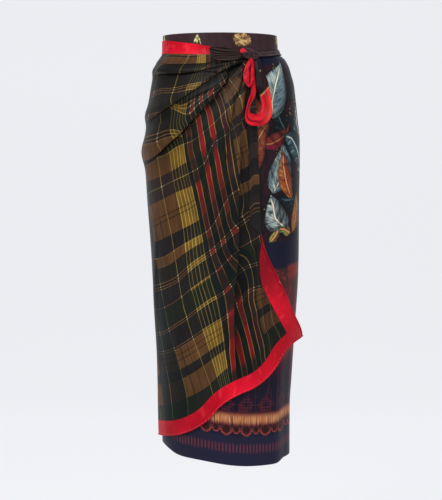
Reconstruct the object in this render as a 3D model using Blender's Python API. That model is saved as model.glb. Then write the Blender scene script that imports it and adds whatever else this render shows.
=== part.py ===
"""A wrap skirt: a tube skirt on a waistband, with a wrap panel drawn across to a side knot.

Metres. +Z is up, the front faces -Y and +X is the wearer's left. The origin is the centre of
the waistband's ring at its mid-height. Most points are placed by an angle round the body
(0 at the front, +90 at the wearer's left), a height, and a distance outside the skirt's cloth.
"""
from collections import namedtuple

import bpy
import numpy as np

GAP = 0.0012            # between the middles of two walls that meet at a seam
SKIRT_WALL = 0.0013
BAND_WALL = 0.0024
PANEL_WALL = 0.0012
TIE_WALL = 0.0015
LOOP_WALL = 0.0012

BAND_TOP = 0.0225
BAND_OUT = 0.0006       # middle of the waistband's wall outside the skirt's own
STRIP_OUT = 0.0031      # wrap panel where it lies over the waistband
PANEL_OUT = 0.0050      # wrap panel below the waistband
TIE_OUT = 0.0041
SEAM_ANGLE = -128.0     # back edge of the wrap panel
ARC = 0.0025            # metres round the hips for one degree
HEM_LEVEL = -0.86

SKIRT_COLUMNS = 72
SKIRT_ROWS = 17
BAND_ROWS = 5
PANEL_COLUMNS = 48
PANEL_ROWS = 28
TIE_COLUMNS = 44
TIE_ROWS = 3
SKIRT_CROWDING = 1.45   # above 1, rows of the grid stand closer at the top
BAND_CROWDING = 1.8     # above 1, rows stand closer at the foot

NAVY = (0.020, 0.022, 0.050)
AUBERGINE = (0.045, 0.024, 0.028)
PLAID_GROUND = (0.030, 0.034, 0.022)
BROWN = (0.045, 0.026, 0.022)
PLUM = (0.050, 0.022, 0.030)
RED = (0.58, 0.013, 0.021)

# Half-widths to the wearer's right and left, and depths before and behind the origin.
Ring = namedtuple("Ring", "z right left front back")
RINGS = [
    Ring(-0.8900, 0.1235, 0.1500, 0.1150, 0.1140),
    Ring(-0.7680, 0.1255, 0.1504, 0.1150, 0.1145),
    Ring(-0.7040, 0.1262, 0.1543, 0.1155, 0.1150),
    Ring(-0.6390, 0.1283, 0.1585, 0.1160, 0.1160),
    Ring(-0.5750, 0.1330, 0.1628, 0.1165, 0.1175),
    Ring(-0.5100, 0.1385, 0.1672, 0.1168, 0.1200),
    Ring(-0.4460, 0.1430, 0.1692, 0.1170, 0.1230),
    Ring(-0.3170, 0.1525, 0.1702, 0.1170, 0.1305),
    Ring(-0.2500, 0.1552, 0.1715, 0.1165, 0.1340),
    Ring(-0.1985, 0.1555, 0.1712, 0.1155, 0.1330),
    Ring(-0.1555, 0.1520, 0.1668, 0.1135, 0.1295),
    Ring(-0.1125, 0.1480, 0.1622, 0.1100, 0.1225),
    Ring(-0.0800, 0.1425, 0.1580, 0.1055, 0.1155),
    Ring(-0.0590, 0.1380, 0.1522, 0.1015, 0.1095),
    Ring(-0.0437, 0.1325, 0.1476, 0.0980, 0.1040),
    Ring(-0.0351, 0.1292, 0.1434, 0.0955, 0.1010),
    Ring(-0.0265, 0.1252, 0.1378, 0.0925, 0.0980),
    Ring(-0.0180, 0.1215, 0.1272, 0.0900, 0.0935),
    Ring(-0.0100, 0.1208, 0.1222, 0.0890, 0.0910),
    Ring(0.0225, 0.1208, 0.1204, 0.0885, 0.0905),
]

# Heights of the skirt's hem and of the waistband's lower edge round the body.
Level = namedtuple("Level", "angle z")
HEM = [
    Level(-180, -0.8660), Level(-150, -0.8620), Level(-120, -0.8530), Level(-90, -0.8460),
    Level(-75, -0.8480), Level(-63, -0.8540), Level(-50, -0.8627), Level(-24, -0.8700),
    Level(4, -0.8800), Level(32, -0.8836), Level(50, -0.8820), Level(64, -0.8745),
    Level(90, -0.8710), Level(120, -0.8680), Level(150, -0.8670), Level(180, -0.8660),
]
BAND_FOOT = [
    Level(-180, -0.0165), Level(-80, -0.0165), Level(-40, -0.0220), Level(0, -0.0260),
    Level(30, -0.0265), Level(60, -0.0215), Level(90, -0.0165), Level(180, -0.0165),
]

# Soft upright folds of the skirt: each grows from its top to its full depth at the hem.
Flute = namedtuple("Flute", "angle spread depth top")
FLUTES = [
    Flute(-168, 12, 0.0075, -0.12), Flute(-141, 10, 0.0055, -0.20), Flute(-112, 9, 0.0040, -0.30),
    Flute(-30, 14, 0.0020, -0.35), Flute(12, 12, 0.0025, -0.40), Flute(47, 9, 0.0034, -0.28),
    Flute(66, 8, -0.0018, -0.34), Flute(113, 10, 0.0050, -0.22), Flute(138, 11, 0.0070, -0.16),
    Flute(164, 10, 0.0050, -0.26),
]

# Outline of the wrap panel, each side from its first corner to its last.
Spot = namedtuple("Spot", "step angle z")
PANEL_TOP = [
    Spot(0.00, SEAM_ANGLE, 0.0120), Spot(0.24, -90, 0.0115), Spot(0.36, -70, 0.0104),
    Spot(0.58, -35, 0.0020), Spot(0.74, -12, -0.0060), Spot(0.88, 8, -0.0190),
    Spot(1.00, 25, -0.0345),
]
PANEL_HEM = [
    Spot(0.00, SEAM_ANGLE, -0.8330), Spot(0.17, -95, -0.8320), Spot(0.27, -72, -0.8290),
    Spot(0.35, -54, -0.8245), Spot(0.41, -43, -0.8195), Spot(0.46, -32, -0.8105),
    Spot(0.51, -23, -0.7994), Spot(0.56, -14, -0.7825), Spot(0.61, -5, -0.7570),
    Spot(0.65, 2, -0.7434), Spot(0.70, 11.8, -0.7299), Spot(0.75, 22.2, -0.7195),
    Spot(0.80, 31, -0.7070), Spot(0.85, 40, -0.6873), Spot(0.89, 46, -0.6690),
    Spot(0.925, 51.5, -0.6490), Spot(0.96, 64, -0.6290), Spot(1.00, 82, -0.6178),
]
PANEL_SEAM = [
    Spot(0.00, SEAM_ANGLE, 0.0120), Spot(0.07, SEAM_ANGLE, -0.0400),
    Spot(0.14, SEAM_ANGLE, -0.0850), Spot(0.25, SEAM_ANGLE, -0.1650),
    Spot(0.36, SEAM_ANGLE, -0.2700), Spot(0.56, SEAM_ANGLE, -0.4400),
    Spot(0.78, SEAM_ANGLE, -0.6350), Spot(1.00, SEAM_ANGLE, -0.8330),
]
PANEL_FRONT = [
    Spot(0.00, 25, -0.0345), Spot(0.08, 25.8, -0.0390), Spot(0.15, 26.4, -0.0480),
    Spot(0.23, 25.6, -0.0760), Spot(0.32, 24.6, -0.1350), Spot(0.42, 24.8, -0.2150),
    Spot(0.53, 26.1, -0.3050), Spot(0.62, 26.8, -0.3800), Spot(0.69, 30.5, -0.4300),
    Spot(0.77, 38.0, -0.4700), Spot(0.85, 48.5, -0.5150), Spot(0.925, 62.0, -0.5640),
    Spot(1.00, 82.0, -0.6178),
]

# Creases drawn into the knot. Each runs outward from it; the cloth on the right hand of the
# way, seen from outside, stands up by `height` and falls away over `spread`.
Crease = namedtuple("Crease", "way height_in height_out spread")
CREASES = [
    Crease([(16, -0.0345), (-10, -0.0409), (-34, -0.0428), (-63, -0.0407), (-135, -0.0380)],
           0.0020, 0.0020, 0.012),
    Crease([(14, -0.0385), (3, -0.0431), (-13, -0.0535), (-28, -0.0592), (-48, -0.0616),
            (-79, -0.0625), (-135, -0.0640)], 0.0025, 0.0058, 0.018),
    Crease([(12, -0.0435), (4, -0.0505), (-5, -0.0643), (-15, -0.0830), (-25, -0.1021),
            (-41, -0.1290), (-49, -0.1389), (-74, -0.1600), (-135, -0.1800)],
           0.0035, 0.0052, 0.026),
    Crease([(11, -0.0440), (4, -0.0559), (2, -0.0728), (-6, -0.1080), (-21, -0.1527),
            (-33, -0.1869), (-42, -0.2053), (-58, -0.2328), (-84, -0.2535), (-135, -0.2680)],
           0.0060, 0.0125, 0.046),
    Crease([(20, -0.0500), (16, -0.0950), (12, -0.1812), (10, -0.3265), (9, -0.4300),
            (5, -0.5131), (1, -0.5753), (-1, -0.6375), (-4, -0.6999), (-12, -0.8400)],
           0.0020, 0.0060, 0.050),
    Crease([(-60, -0.3300), (-66, -0.4600), (-74, -0.6200), (-78, -0.8900)],
           0.0005, 0.0048, 0.040),
    Crease([(-102, -0.2900), (-104, -0.4600), (-108, -0.8900)], 0.0010, 0.0070, 0.040),
]
NARROWEST = 0.25        # share of its spread a crease keeps at the knot
WIDE_FROM = 0.6         # share of its way where it has all its spread
CREST_RISE = 0.18       # shares of the spread: how fast the crest rises and falls
CREST_FALL = 1.6
CREST_PEAK = 1.3
TROUGH_DEPTH = 0.9
TROUGH_FALL = 0.25
GROWS_FROM, GROWS_TO = 0.1, 0.8

# Heights below the origin between which the panel leaves the waistband's face.
STRIP_FOOT, BELOW_STRIP = 0.012, 0.040
LEAST_FROM, LEAST_BELOW = 0.020, 0.030
LEAST_PANEL_OUT = 0.0036
# The folds are pressed flat near the knot and along the back seam.
PRESSED = (22.0, -0.036)
PRESSED_REACH, FREE_REACH = 0.010, 0.030
SEAM_FADE = 16.0
CORNER = (82.0, -0.6178)
CORNER_LIFT = 0.0125
CORNER_REACH = 0.075

# The tie's gathered end: top and bottom edges from the waistband's front into the knot.
Span = namedtuple("Span", "step angle_top z_top angle_low z_low swell")
GATHER = [
    Span(0.00, -11.8, -0.0068, -10.6, -0.0290, 0.0000),
    Span(0.12, -9.0, -0.0095, -8.6, -0.0360, 0.0030),
    Span(0.30, -3.0, -0.0100, -2.6, -0.0385, 0.0048),
    Span(0.55, 4.5, -0.0106, 5.0, -0.0385, 0.0056),
    Span(0.80, 12.0, -0.0142, 12.4, -0.0365, 0.0060),
    Span(1.00, 18.5, -0.0185, 18.5, -0.0320, 0.0050),
]
GATHER_OVER = 0.0021    # the gather's edges outside the wrap panel's middle
GATHER_PLEATS = 4
PLEAT_HEIGHT = 0.0011
GATHER_COLUMNS = 14
GATHER_ROWS = 20

# The knot, a packed lump: rings across it from the gather's side to the tie's.
Bead = namedtuple("Bead", "angle z half_height half_depth")
KNOT = [
    Bead(18.9, -0.0240, 0.0030, 0.0022), Bead(19.6, -0.0240, 0.0080, 0.0048),
    Bead(21.4, -0.0242, 0.0112, 0.0064), Bead(23.6, -0.0248, 0.0128, 0.0070),
    Bead(25.6, -0.0252, 0.0122, 0.0068), Bead(27.4, -0.0246, 0.0098, 0.0058),
    Bead(28.9, -0.0235, 0.0060, 0.0040), Bead(29.6, -0.0230, 0.0024, 0.0018),
]
KNOT_OUT = 0.0135
KNOT_AROUND = 16
KNOT_GROOVES = 3
GROOVE_DEPTH = 0.10

# The tie from the knot round the wearer's left and the back to the wrap panel's seam.
TIE_LINE = [
    Level(30.0, -0.0226), Level(45, -0.0198), Level(60, -0.0165), Level(90, -0.0123),
    Level(150, -0.0118), Level(230, -0.0112),
]
TIE_HALF = 0.0052
TIE_ARCH = 0.0006       # across its width
TIE_LIFT = 0.0070       # at the knot
TIE_RISES_FROM, TIE_RISES_TO = 40.0, 30.0

# Ribbons hung from the knot, edge to edge: (angle, z, out) along each side.
Rib = namedtuple("Rib", "angle_a z_a out_a angle_b z_b out_b")
BOW_LOOP = [
    Rib(27.4, -0.0361, 0.0130, 25.6, -0.0377, 0.0128),
    Rib(31.2, -0.0540, 0.0168, 26.6, -0.0600, 0.0125),
    Rib(34.2, -0.0740, 0.0205, 26.8, -0.0850, 0.0118),
    Rib(35.8, -0.0925, 0.0240, 28.0, -0.1050, 0.0125),
    Rib(36.6, -0.1150, 0.0262, 30.0, -0.1160, 0.0125),
    Rib(36.9, -0.1400, 0.0270, 29.4, -0.1300, 0.0120),
    Rib(34.6, -0.1620, 0.0265, 28.0, -0.1400, 0.0116),
    Rib(28.9, -0.1710, 0.0258, 25.4, -0.1450, 0.0112),
    Rib(22.6, -0.1705, 0.0250, 23.2, -0.1430, 0.0112),
    Rib(18.0, -0.1620, 0.0245, 22.6, -0.1370, 0.0114),
    Rib(17.4, -0.1500, 0.0240, 23.8, -0.1280, 0.0118),
    Rib(18.6, -0.1330, 0.0228, 25.6, -0.1180, 0.0122),
    Rib(20.4, -0.1130, 0.0205, 26.0, -0.1060, 0.0124),
    Rib(22.0, -0.0950, 0.0170, 25.0, -0.0900, 0.0124),
    Rib(21.4, -0.0740, 0.0146, 24.6, -0.0720, 0.0128),
    Rib(22.0, -0.0365, 0.0130, 24.4, -0.0379, 0.0128),
]
BOW_TAIL = [
    Rib(22.4, -0.0348, 0.0168, 24.8, -0.0354, 0.0168),
    Rib(19.6, -0.0560, 0.0195, 25.6, -0.0560, 0.0195),
    Rib(18.2, -0.0700, 0.0205, 25.8, -0.0700, 0.0200),
    Rib(17.8, -0.0820, 0.0210, 25.6, -0.0810, 0.0205),
    Rib(19.4, -0.0920, 0.0210, 24.2, -0.0910, 0.0208),
    Rib(21.2, -0.0975, 0.0210, 22.6, -0.0970, 0.0210),
]
RIB_COLUMNS = 7
ROWS_BETWEEN_RIBS = 1.5
LOOP_BOW = 0.0030
TAIL_BOW = 0.0036


def column(table, name):
    return np.array([getattr(row, name) for row in table], float)


def curve(x, y, at):
    """Values at `at` of the smooth curve through the points (x, y), without overshoot."""
    at = np.clip(np.asarray(at, float), x[0], x[-1])
    step = np.diff(x)
    rise = np.diff(y) / step
    slope = np.concatenate([[rise[0]], (rise[:-1] + rise[1:]) / 2, [rise[-1]]])
    steepest = 2 * np.minimum(np.abs(rise[:-1]), np.abs(rise[1:])) * (rise[:-1] * rise[1:] > 0)
    slope[1:-1] = np.clip(slope[1:-1], -steepest, steepest)
    cell = np.clip(np.searchsorted(x, at, side="right") - 1, 0, len(step) - 1)
    u = (at - x[cell]) / step[cell]
    entry = (1 + 2 * u) * (1 - u) ** 2 * y[cell] + u * (1 - u) ** 2 * step[cell] * slope[cell]
    leave = u ** 2 * (3 - 2 * u) * y[cell + 1] - u ** 2 * (1 - u) * step[cell] * slope[cell + 1]
    return entry + leave


def smooth(table, key, value, at):
    """Curve through the table's column `value` over its column `key`."""
    return curve(column(table, key), column(table, value), at)


def ease(low, high, at):
    """0 below `low`, 1 above `high`, smooth between."""
    u = np.clip((at - low) / (high - low), 0, 1)
    return u * u * (3 - 2 * u)


def turned(angle, centre):
    """Signed degrees from `centre` to `angle`, the short way round."""
    return (angle - centre + 180) % 360 - 180


def flute(angle, z):
    """How far the skirt's own soft folds stand out of its plain form."""
    out = np.zeros(np.broadcast(angle, z).shape)
    for fold in FLUTES:
        grown = ease(fold.top, HEM_LEVEL, z)
        out = out + fold.depth * grown * np.exp(-(turned(angle, fold.angle) / fold.spread) ** 2)
    return out


def on_body(angle, z, out):
    """Points at angles and heights, `out` metres outside the middle of the skirt's wall."""
    angle, z, out = np.broadcast_arrays(*(np.asarray(part, float) for part in (angle, z, out)))
    right, left, front, back = (smooth(RINGS, "z", part, z) for part in Ring._fields[1:])
    across = np.sin(np.radians(angle))
    toward = -np.cos(np.radians(angle))
    half_x = (right + left) / 2
    half_y = (front + back) / 2
    length = np.hypot(across / half_x, toward / half_y)
    off = out + flute(angle, z)
    x = (left - right) / 2 + half_x * across + off * across / half_x / length
    y = (back - front) / 2 + half_y * toward + off * toward / half_y / length
    return np.stack([x, y, z], axis=-1)


def crease_height(angle, z, crease):
    """Height of one crease's standing cloth at places on the body."""
    way = np.array(crease.way) * (ARC, 1)
    place = np.stack([angle * ARC, z], axis=-1)
    nearest = np.full(angle.shape, np.inf)
    side = np.zeros(angle.shape)
    along = np.zeros(angle.shape)
    lengths = np.linalg.norm(np.diff(way, axis=0), axis=1)
    walked = np.concatenate([[0], np.cumsum(lengths)]) / lengths.sum()
    for number, (start, end) in enumerate(zip(way[:-1], way[1:])):
        run = end - start
        offset = place - start
        u = np.clip(offset @ run / (run @ run), 0, 1)
        distance = np.linalg.norm(offset - u[..., None] * run, axis=-1)
        hand = run[1] * offset[..., 0] - run[0] * offset[..., 1]
        closer = distance < nearest
        nearest = np.where(closer, distance, nearest)
        side = np.where(closer, np.sign(hand), side)
        along = np.where(closer, walked[number] + u * (walked[number + 1] - walked[number]), along)
    spread = crease.spread * (NARROWEST + (1 - NARROWEST) * ease(0, WIDE_FROM, along))
    reach = nearest / spread
    crest = CREST_PEAK * (1 - np.exp(-reach / CREST_RISE)) * np.exp(-reach ** CREST_FALL)
    trough = -TROUGH_DEPTH * reach * np.exp(-reach / TROUGH_FALL)
    grown = ease(GROWS_FROM, GROWS_TO, along)
    height = crease.height_in + (crease.height_out - crease.height_in) * grown
    return height * np.where(side > 0, crest, trough)


def panel_out(angle, z):
    """Distance of the wrap panel's middle outside the skirt's."""
    base = STRIP_OUT + (PANEL_OUT - STRIP_OUT) * ease(STRIP_FOOT, BELOW_STRIP, -z)
    folds = sum(crease_height(angle, z, crease) for crease in CREASES)
    from_knot = np.hypot((angle - PRESSED[0]) * ARC, z - PRESSED[1])
    held = ease(PRESSED_REACH, FREE_REACH, from_knot) * ease(0, SEAM_FADE, angle - SEAM_ANGLE)
    corner = np.hypot((angle - CORNER[0]) * ARC, z - CORNER[1])
    lift = CORNER_LIFT * np.exp(-(corner / CORNER_REACH) ** 2)
    least = STRIP_OUT + (LEAST_PANEL_OUT - STRIP_OUT) * ease(LEAST_FROM, LEAST_BELOW, -z)
    return np.maximum(base + folds * held + lift, least)


def patch(top, low, start, end, columns, rows):
    """Angle and height grids filling a four-sided outline given by its sides' tables."""
    s = np.linspace(0, 1, columns)[None, :]
    t = np.linspace(0, 1, rows)[:, None]
    grids = []
    for part in ("angle", "z"):
        upper, lower = (smooth(side, "step", part, s) for side in (top, low))
        first, last = (smooth(side, "step", part, t) for side in (start, end))
        corners = (1 - t) * ((1 - s) * upper[0, 0] + s * upper[0, -1])
        corners = corners + t * ((1 - s) * lower[0, 0] + s * lower[0, -1])
        grids.append((1 - t) * upper + t * lower + (1 - s) * first + s * last - corners)
    return grids


def normals(grid, ring):
    """Unit normals of a grid of points, outward when rows run down and columns leftward."""
    if ring:
        across = np.roll(grid, -1, axis=1) - np.roll(grid, 1, axis=1)
    else:
        across = np.gradient(grid, axis=1)
    facing = np.cross(np.gradient(grid, axis=0), across)
    return facing / np.linalg.norm(facing, axis=-1, keepdims=True)


def material(name, colour):
    """A plain Principled material."""
    made = bpy.data.materials.new(name)
    made.use_nodes = True
    shader = made.node_tree.nodes["Principled BSDF"]
    shader.inputs["Base Color"].default_value = (*colour, 1.0)
    shader.inputs["Roughness"].default_value = 0.5
    shader.inputs["Metallic"].default_value = 0.0
    return made


def add(name, points, faces, colour):
    """A mesh object of its own material in the scene."""
    mesh = bpy.data.meshes.new(name)
    mesh.from_pydata(points.tolist(), [], faces)
    mesh.update()
    placed = bpy.data.objects.new(name, mesh)
    placed.data.materials.append(material(name, colour))
    bpy.context.collection.objects.link(placed)
    return placed


def shell(name, grid, wall, colour, ring=False):
    """A closed wall on a grid of middle points; `ring` joins the last column to the first.

    Both faces of the wall split each cell along its shorter diagonal, so they never cross.
    """
    rows, columns = grid.shape[:2]
    step = normals(grid, ring) * wall / 2
    points = np.concatenate([(grid + step).reshape(-1, 3), (grid - step).reshape(-1, 3)])

    def at(layer, row, place):
        return layer * rows * columns + row * columns + place % columns

    faces = []
    spans = columns if ring else columns - 1
    for row in range(rows - 1):
        for place in range(spans):
            cell = [(row, place), (row + 1, place), (row + 1, place + 1), (row, place + 1)]
            corner = [grid[r, c % columns] for r, c in cell]
            if np.linalg.norm(corner[0] - corner[2]) > np.linalg.norm(corner[1] - corner[3]):
                cell = cell[1:] + cell[:1]
            for half in ((cell[0], cell[1], cell[2]), (cell[0], cell[2], cell[3])):
                faces.append([at(0, *point) for point in half])
                faces.append([at(1, *point) for point in reversed(half)])
    low = rows - 1
    for place in range(spans):
        after = place + 1
        faces.append([at(0, 0, place), at(0, 0, after), at(1, 0, after), at(1, 0, place)])
        faces.append([at(0, low, after), at(0, low, place), at(1, low, place), at(1, low, after)])
    if not ring:
        last = columns - 1
        for row in range(low):
            under = row + 1
            faces.append([at(0, under, 0), at(0, row, 0), at(1, row, 0), at(1, under, 0)])
            faces.append([at(0, row, last), at(0, under, last), at(1, under, last),
                          at(1, row, last)])
    return add(name, points, faces, colour)


def lump(name, rings, colour):
    """A closed body through rings of points, with a fan at each end."""
    count, around = rings.shape[:2]
    ends = rings[[0, -1]].mean(axis=1)
    points = np.concatenate([rings.reshape(-1, 3), ends])
    faces = []
    for row in range(count - 1):
        for turn in range(around):
            after = (turn + 1) % around
            faces.append([row * around + turn, row * around + after,
                          (row + 1) * around + after, (row + 1) * around + turn])
    last = (count - 1) * around
    for turn in range(around):
        after = (turn + 1) % around
        faces.append([count * around, after, turn])
        faces.append([count * around + 1, last + turn, last + after])
    return add(name, points, faces, colour)


def ring_angles(columns):
    return np.arange(columns) * 360.0 / columns - 180.0


def make_skirt():
    """The tube skirt, from just under the waistband to its hem."""
    angle = ring_angles(SKIRT_COLUMNS)[None, :]
    top = smooth(BAND_FOOT, "angle", "z", angle) - GAP
    hem = smooth(HEM, "angle", "z", angle)
    down = np.linspace(0, 1, SKIRT_ROWS)[:, None] ** SKIRT_CROWDING
    z = top + (hem - top) * down
    return shell("skirt_body", on_body(angle, z, 0.0), SKIRT_WALL, NAVY, ring=True)


def make_waistband():
    """The waistband, a plain ring."""
    angle = ring_angles(SKIRT_COLUMNS)[None, :]
    foot = smooth(BAND_FOOT, "angle", "z", angle)
    down = 1 - np.linspace(1, 0, BAND_ROWS)[:, None] ** BAND_CROWDING
    z = BAND_TOP + (foot - BAND_TOP) * down
    return shell("waistband", on_body(angle, z, BAND_OUT), BAND_WALL, AUBERGINE, ring=True)


def make_panel():
    """The wrap panel, from its seam at the back across the front to its free edge."""
    angle, z = patch(PANEL_TOP, PANEL_HEM, PANEL_SEAM, PANEL_FRONT, PANEL_COLUMNS, PANEL_ROWS)
    return shell("wrap_panel", on_body(angle, z, panel_out(angle, z)), PANEL_WALL, PLAID_GROUND)


def make_gather():
    """The tie's gathered end, pleated into the knot."""
    s = np.linspace(0, 1, GATHER_COLUMNS)[None, :]
    t = np.linspace(0, 1, GATHER_ROWS)[:, None]
    angle_top, z_top, angle_low, z_low, swell = (
        smooth(GATHER, "step", part, s) for part in Span._fields[1:])
    angle = angle_top + (angle_low - angle_top) * t
    z = z_top + (z_low - z_top) * t
    pleats = PLEAT_HEIGHT * np.cos(2 * np.pi * GATHER_PLEATS * t) * ease(0, 0.15, s) * (1 - 0.75 * s)
    out = panel_out(angle, z) + GATHER_OVER + PLEAT_HEIGHT + swell * np.sin(np.pi * t) + pleats
    return shell("tie_gather", on_body(angle, z, out), TIE_WALL, BROWN)


def make_knot():
    """The knot, a lump grooved where the cloth wraps round it."""
    turn = np.arange(KNOT_AROUND)[None, :] * 2 * np.pi / KNOT_AROUND
    lengthwise = np.linspace(0, 1, len(KNOT))[:, None]
    angle, z, half_height, half_depth = (column(KNOT, part)[:, None] for part in Bead._fields)
    groove = 1 - GROOVE_DEPTH * (0.5 + 0.5 * np.cos(KNOT_GROOVES * (turn + 2.2 * lengthwise)))
    rings = on_body(angle + 0 * turn, z + half_height * np.sin(turn) * groove,
                    KNOT_OUT + half_depth * np.cos(turn) * groove)
    return lump("knot", rings[:, ::-1], PLUM)


def make_tie():
    """The flat tie along the waistband's lower edge."""
    angle = np.linspace(TIE_LINE[0].angle, TIE_LINE[-1].angle, TIE_COLUMNS)[None, :]
    line = smooth(TIE_LINE, "angle", "z", angle)
    t = np.linspace(-1, 1, TIE_ROWS)[:, None]
    z = line - TIE_HALF * t
    lifted = TIE_ARCH * (1 - t ** 2) + TIE_LIFT * ease(TIE_RISES_FROM, TIE_RISES_TO, angle)
    points = on_body(turned(angle, 0), z, TIE_OUT + lifted)
    return shell("tie_band", points, TIE_WALL, AUBERGINE)


def ribbon(name, ribs, bow):
    """A curved ribbon between two edges; `bow` arches it across its width."""
    number = np.arange(len(ribs))
    at = np.linspace(0, number[-1], int(number[-1] * ROWS_BETWEEN_RIBS) + 1)
    edges = [curve(number, column(ribs, part), at)[:, None] for part in Rib._fields]
    across = np.linspace(0, 1, RIB_COLUMNS)[None, :]
    angle, z, out = (first + (second - first) * across for first, second in zip(edges[:3], edges[3:]))
    return shell(name, on_body(angle, z, out + bow * np.sin(np.pi * across)), LOOP_WALL, RED)


def build():
    """Every piece of the skirt."""
    for old in list(bpy.data.objects):
        bpy.data.objects.remove(old, do_unlink=True)
    make_skirt()
    make_waistband()
    make_panel()
    make_gather()
    make_knot()
    make_tie()
    ribbon("bow_loop", BOW_LOOP, LOOP_BOW)
    ribbon("bow_tail", BOW_TAIL, TAIL_BOW)


build()
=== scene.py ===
"""Looks of the wrap skirt: its cloth, patterns, seams, knot and bow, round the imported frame.

Metres. +Z is up, the front faces -Y and +X is the wearer's left. As in the part, most points are
placed by an angle round the body (0 at the front, +90 at the wearer's left), a height, and a
distance outside the middle of the skirt's cloth.
"""
from collections import namedtuple
import math

import bpy
import numpy as np
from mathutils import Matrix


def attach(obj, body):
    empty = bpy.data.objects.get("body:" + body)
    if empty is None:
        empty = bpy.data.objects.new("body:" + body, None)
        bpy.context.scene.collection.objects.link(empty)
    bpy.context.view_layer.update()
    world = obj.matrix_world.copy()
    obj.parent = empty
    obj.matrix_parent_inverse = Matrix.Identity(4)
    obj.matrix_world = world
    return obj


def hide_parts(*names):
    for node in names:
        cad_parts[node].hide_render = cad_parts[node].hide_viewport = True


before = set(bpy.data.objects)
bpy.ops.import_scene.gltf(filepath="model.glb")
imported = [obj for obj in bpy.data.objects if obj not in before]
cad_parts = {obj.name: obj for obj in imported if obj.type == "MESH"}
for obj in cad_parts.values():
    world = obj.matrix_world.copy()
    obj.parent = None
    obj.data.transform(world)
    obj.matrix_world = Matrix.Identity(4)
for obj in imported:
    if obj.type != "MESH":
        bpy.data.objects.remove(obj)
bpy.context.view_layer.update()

# ---------------------------------------------------------------- sizes shared with the part

ARC = 0.0025            # metres round the hips for one degree
HEM_LEVEL = -0.86
BAND_TOP = 0.0225
BAND_OUT = 0.0006
STRIP_OUT = 0.0031      # wrap panel where it lies over the waistband
PANEL_OUT = 0.0050      # wrap panel below the waistband
TIE_OUT = 0.0041
SEAM_ANGLE = -128.0     # back edge of the wrap panel

Ring = namedtuple("Ring", "z right left front back")
RINGS = [
    Ring(-0.8900, 0.1235, 0.1500, 0.1150, 0.1140),
    Ring(-0.7680, 0.1255, 0.1504, 0.1150, 0.1145),
    Ring(-0.7040, 0.1262, 0.1543, 0.1155, 0.1150),
    Ring(-0.6390, 0.1283, 0.1585, 0.1160, 0.1160),
    Ring(-0.5750, 0.1330, 0.1628, 0.1165, 0.1175),
    Ring(-0.5100, 0.1385, 0.1672, 0.1168, 0.1200),
    Ring(-0.4460, 0.1430, 0.1692, 0.1170, 0.1230),
    Ring(-0.3170, 0.1525, 0.1702, 0.1170, 0.1305),
    Ring(-0.2500, 0.1552, 0.1715, 0.1165, 0.1340),
    Ring(-0.1985, 0.1555, 0.1712, 0.1155, 0.1330),
    Ring(-0.1555, 0.1520, 0.1668, 0.1135, 0.1295),
    Ring(-0.1125, 0.1480, 0.1622, 0.1100, 0.1225),
    Ring(-0.0800, 0.1425, 0.1580, 0.1055, 0.1155),
    Ring(-0.0590, 0.1380, 0.1522, 0.1015, 0.1095),
    Ring(-0.0437, 0.1325, 0.1476, 0.0980, 0.1040),
    Ring(-0.0351, 0.1292, 0.1434, 0.0955, 0.1010),
    Ring(-0.0265, 0.1252, 0.1378, 0.0925, 0.0980),
    Ring(-0.0180, 0.1215, 0.1272, 0.0900, 0.0935),
    Ring(-0.0100, 0.1208, 0.1222, 0.0890, 0.0910),
    Ring(0.0225, 0.1208, 0.1204, 0.0885, 0.0905),
]

Level = namedtuple("Level", "angle z")
HEM = [
    Level(-180, -0.8660), Level(-150, -0.8620), Level(-120, -0.8530), Level(-90, -0.8460),
    Level(-75, -0.8480), Level(-63, -0.8540), Level(-50, -0.8627), Level(-24, -0.8700),
    Level(4, -0.8800), Level(32, -0.8836), Level(50, -0.8820), Level(64, -0.8745),
    Level(90, -0.8710), Level(120, -0.8680), Level(150, -0.8670), Level(180, -0.8660),
]
BAND_FOOT = [
    Level(-180, -0.0165), Level(-80, -0.0165), Level(-40, -0.0220), Level(0, -0.0260),
    Level(30, -0.0265), Level(60, -0.0215), Level(90, -0.0165), Level(180, -0.0165),
]
Flute = namedtuple("Flute", "angle spread depth top")
FLUTES = [
    Flute(-168, 12, 0.0075, -0.12), Flute(-141, 10, 0.0055, -0.20), Flute(-112, 9, 0.0040, -0.30),
    Flute(-30, 14, 0.0020, -0.35), Flute(12, 12, 0.0025, -0.40), Flute(47, 9, 0.0034, -0.28),
    Flute(66, 8, -0.0018, -0.34), Flute(113, 10, 0.0050, -0.22), Flute(138, 11, 0.0070, -0.16),
    Flute(164, 10, 0.0050, -0.26),
]

# Outline of the wrap panel, and the creases that part it, as (angle, z) points. Each line runs
# from the front edge beside the knot to the back seam.
TOP_EDGE = [
    (25, -0.0345), (8, -0.0190), (-12, -0.0060), (-35, 0.0020), (-70, 0.0104), (-90, 0.0115),
    (SEAM_ANGLE, 0.0120),
]
HEM_EDGE = [
    (82, -0.6178), (64, -0.6290), (51.5, -0.6490), (46, -0.6690), (40, -0.6873), (31, -0.7070),
    (22.2, -0.7195), (11.8, -0.7299), (2, -0.7434), (-5, -0.7570), (-14, -0.7825), (-23, -0.7994),
    (-32, -0.8105), (-43, -0.8195), (-54, -0.8245), (-72, -0.8290), (-95, -0.8320),
    (SEAM_ANGLE, -0.8330),
]
FRONT_EDGE = [
    (25.9, -0.0410), (26.4, -0.0480), (25.6, -0.0760), (24.6, -0.1350), (24.8, -0.2150),
    (26.1, -0.3050), (26.8, -0.3800), (30.5, -0.4300), (38, -0.4700), (48.5, -0.5150),
    (62, -0.5640), (82, -0.6178),
]
SEAM = [(SEAM_ANGLE, -0.2680), (SEAM_ANGLE, -0.4400), (SEAM_ANGLE, -0.6350), (SEAM_ANGLE, -0.8330)]

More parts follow.
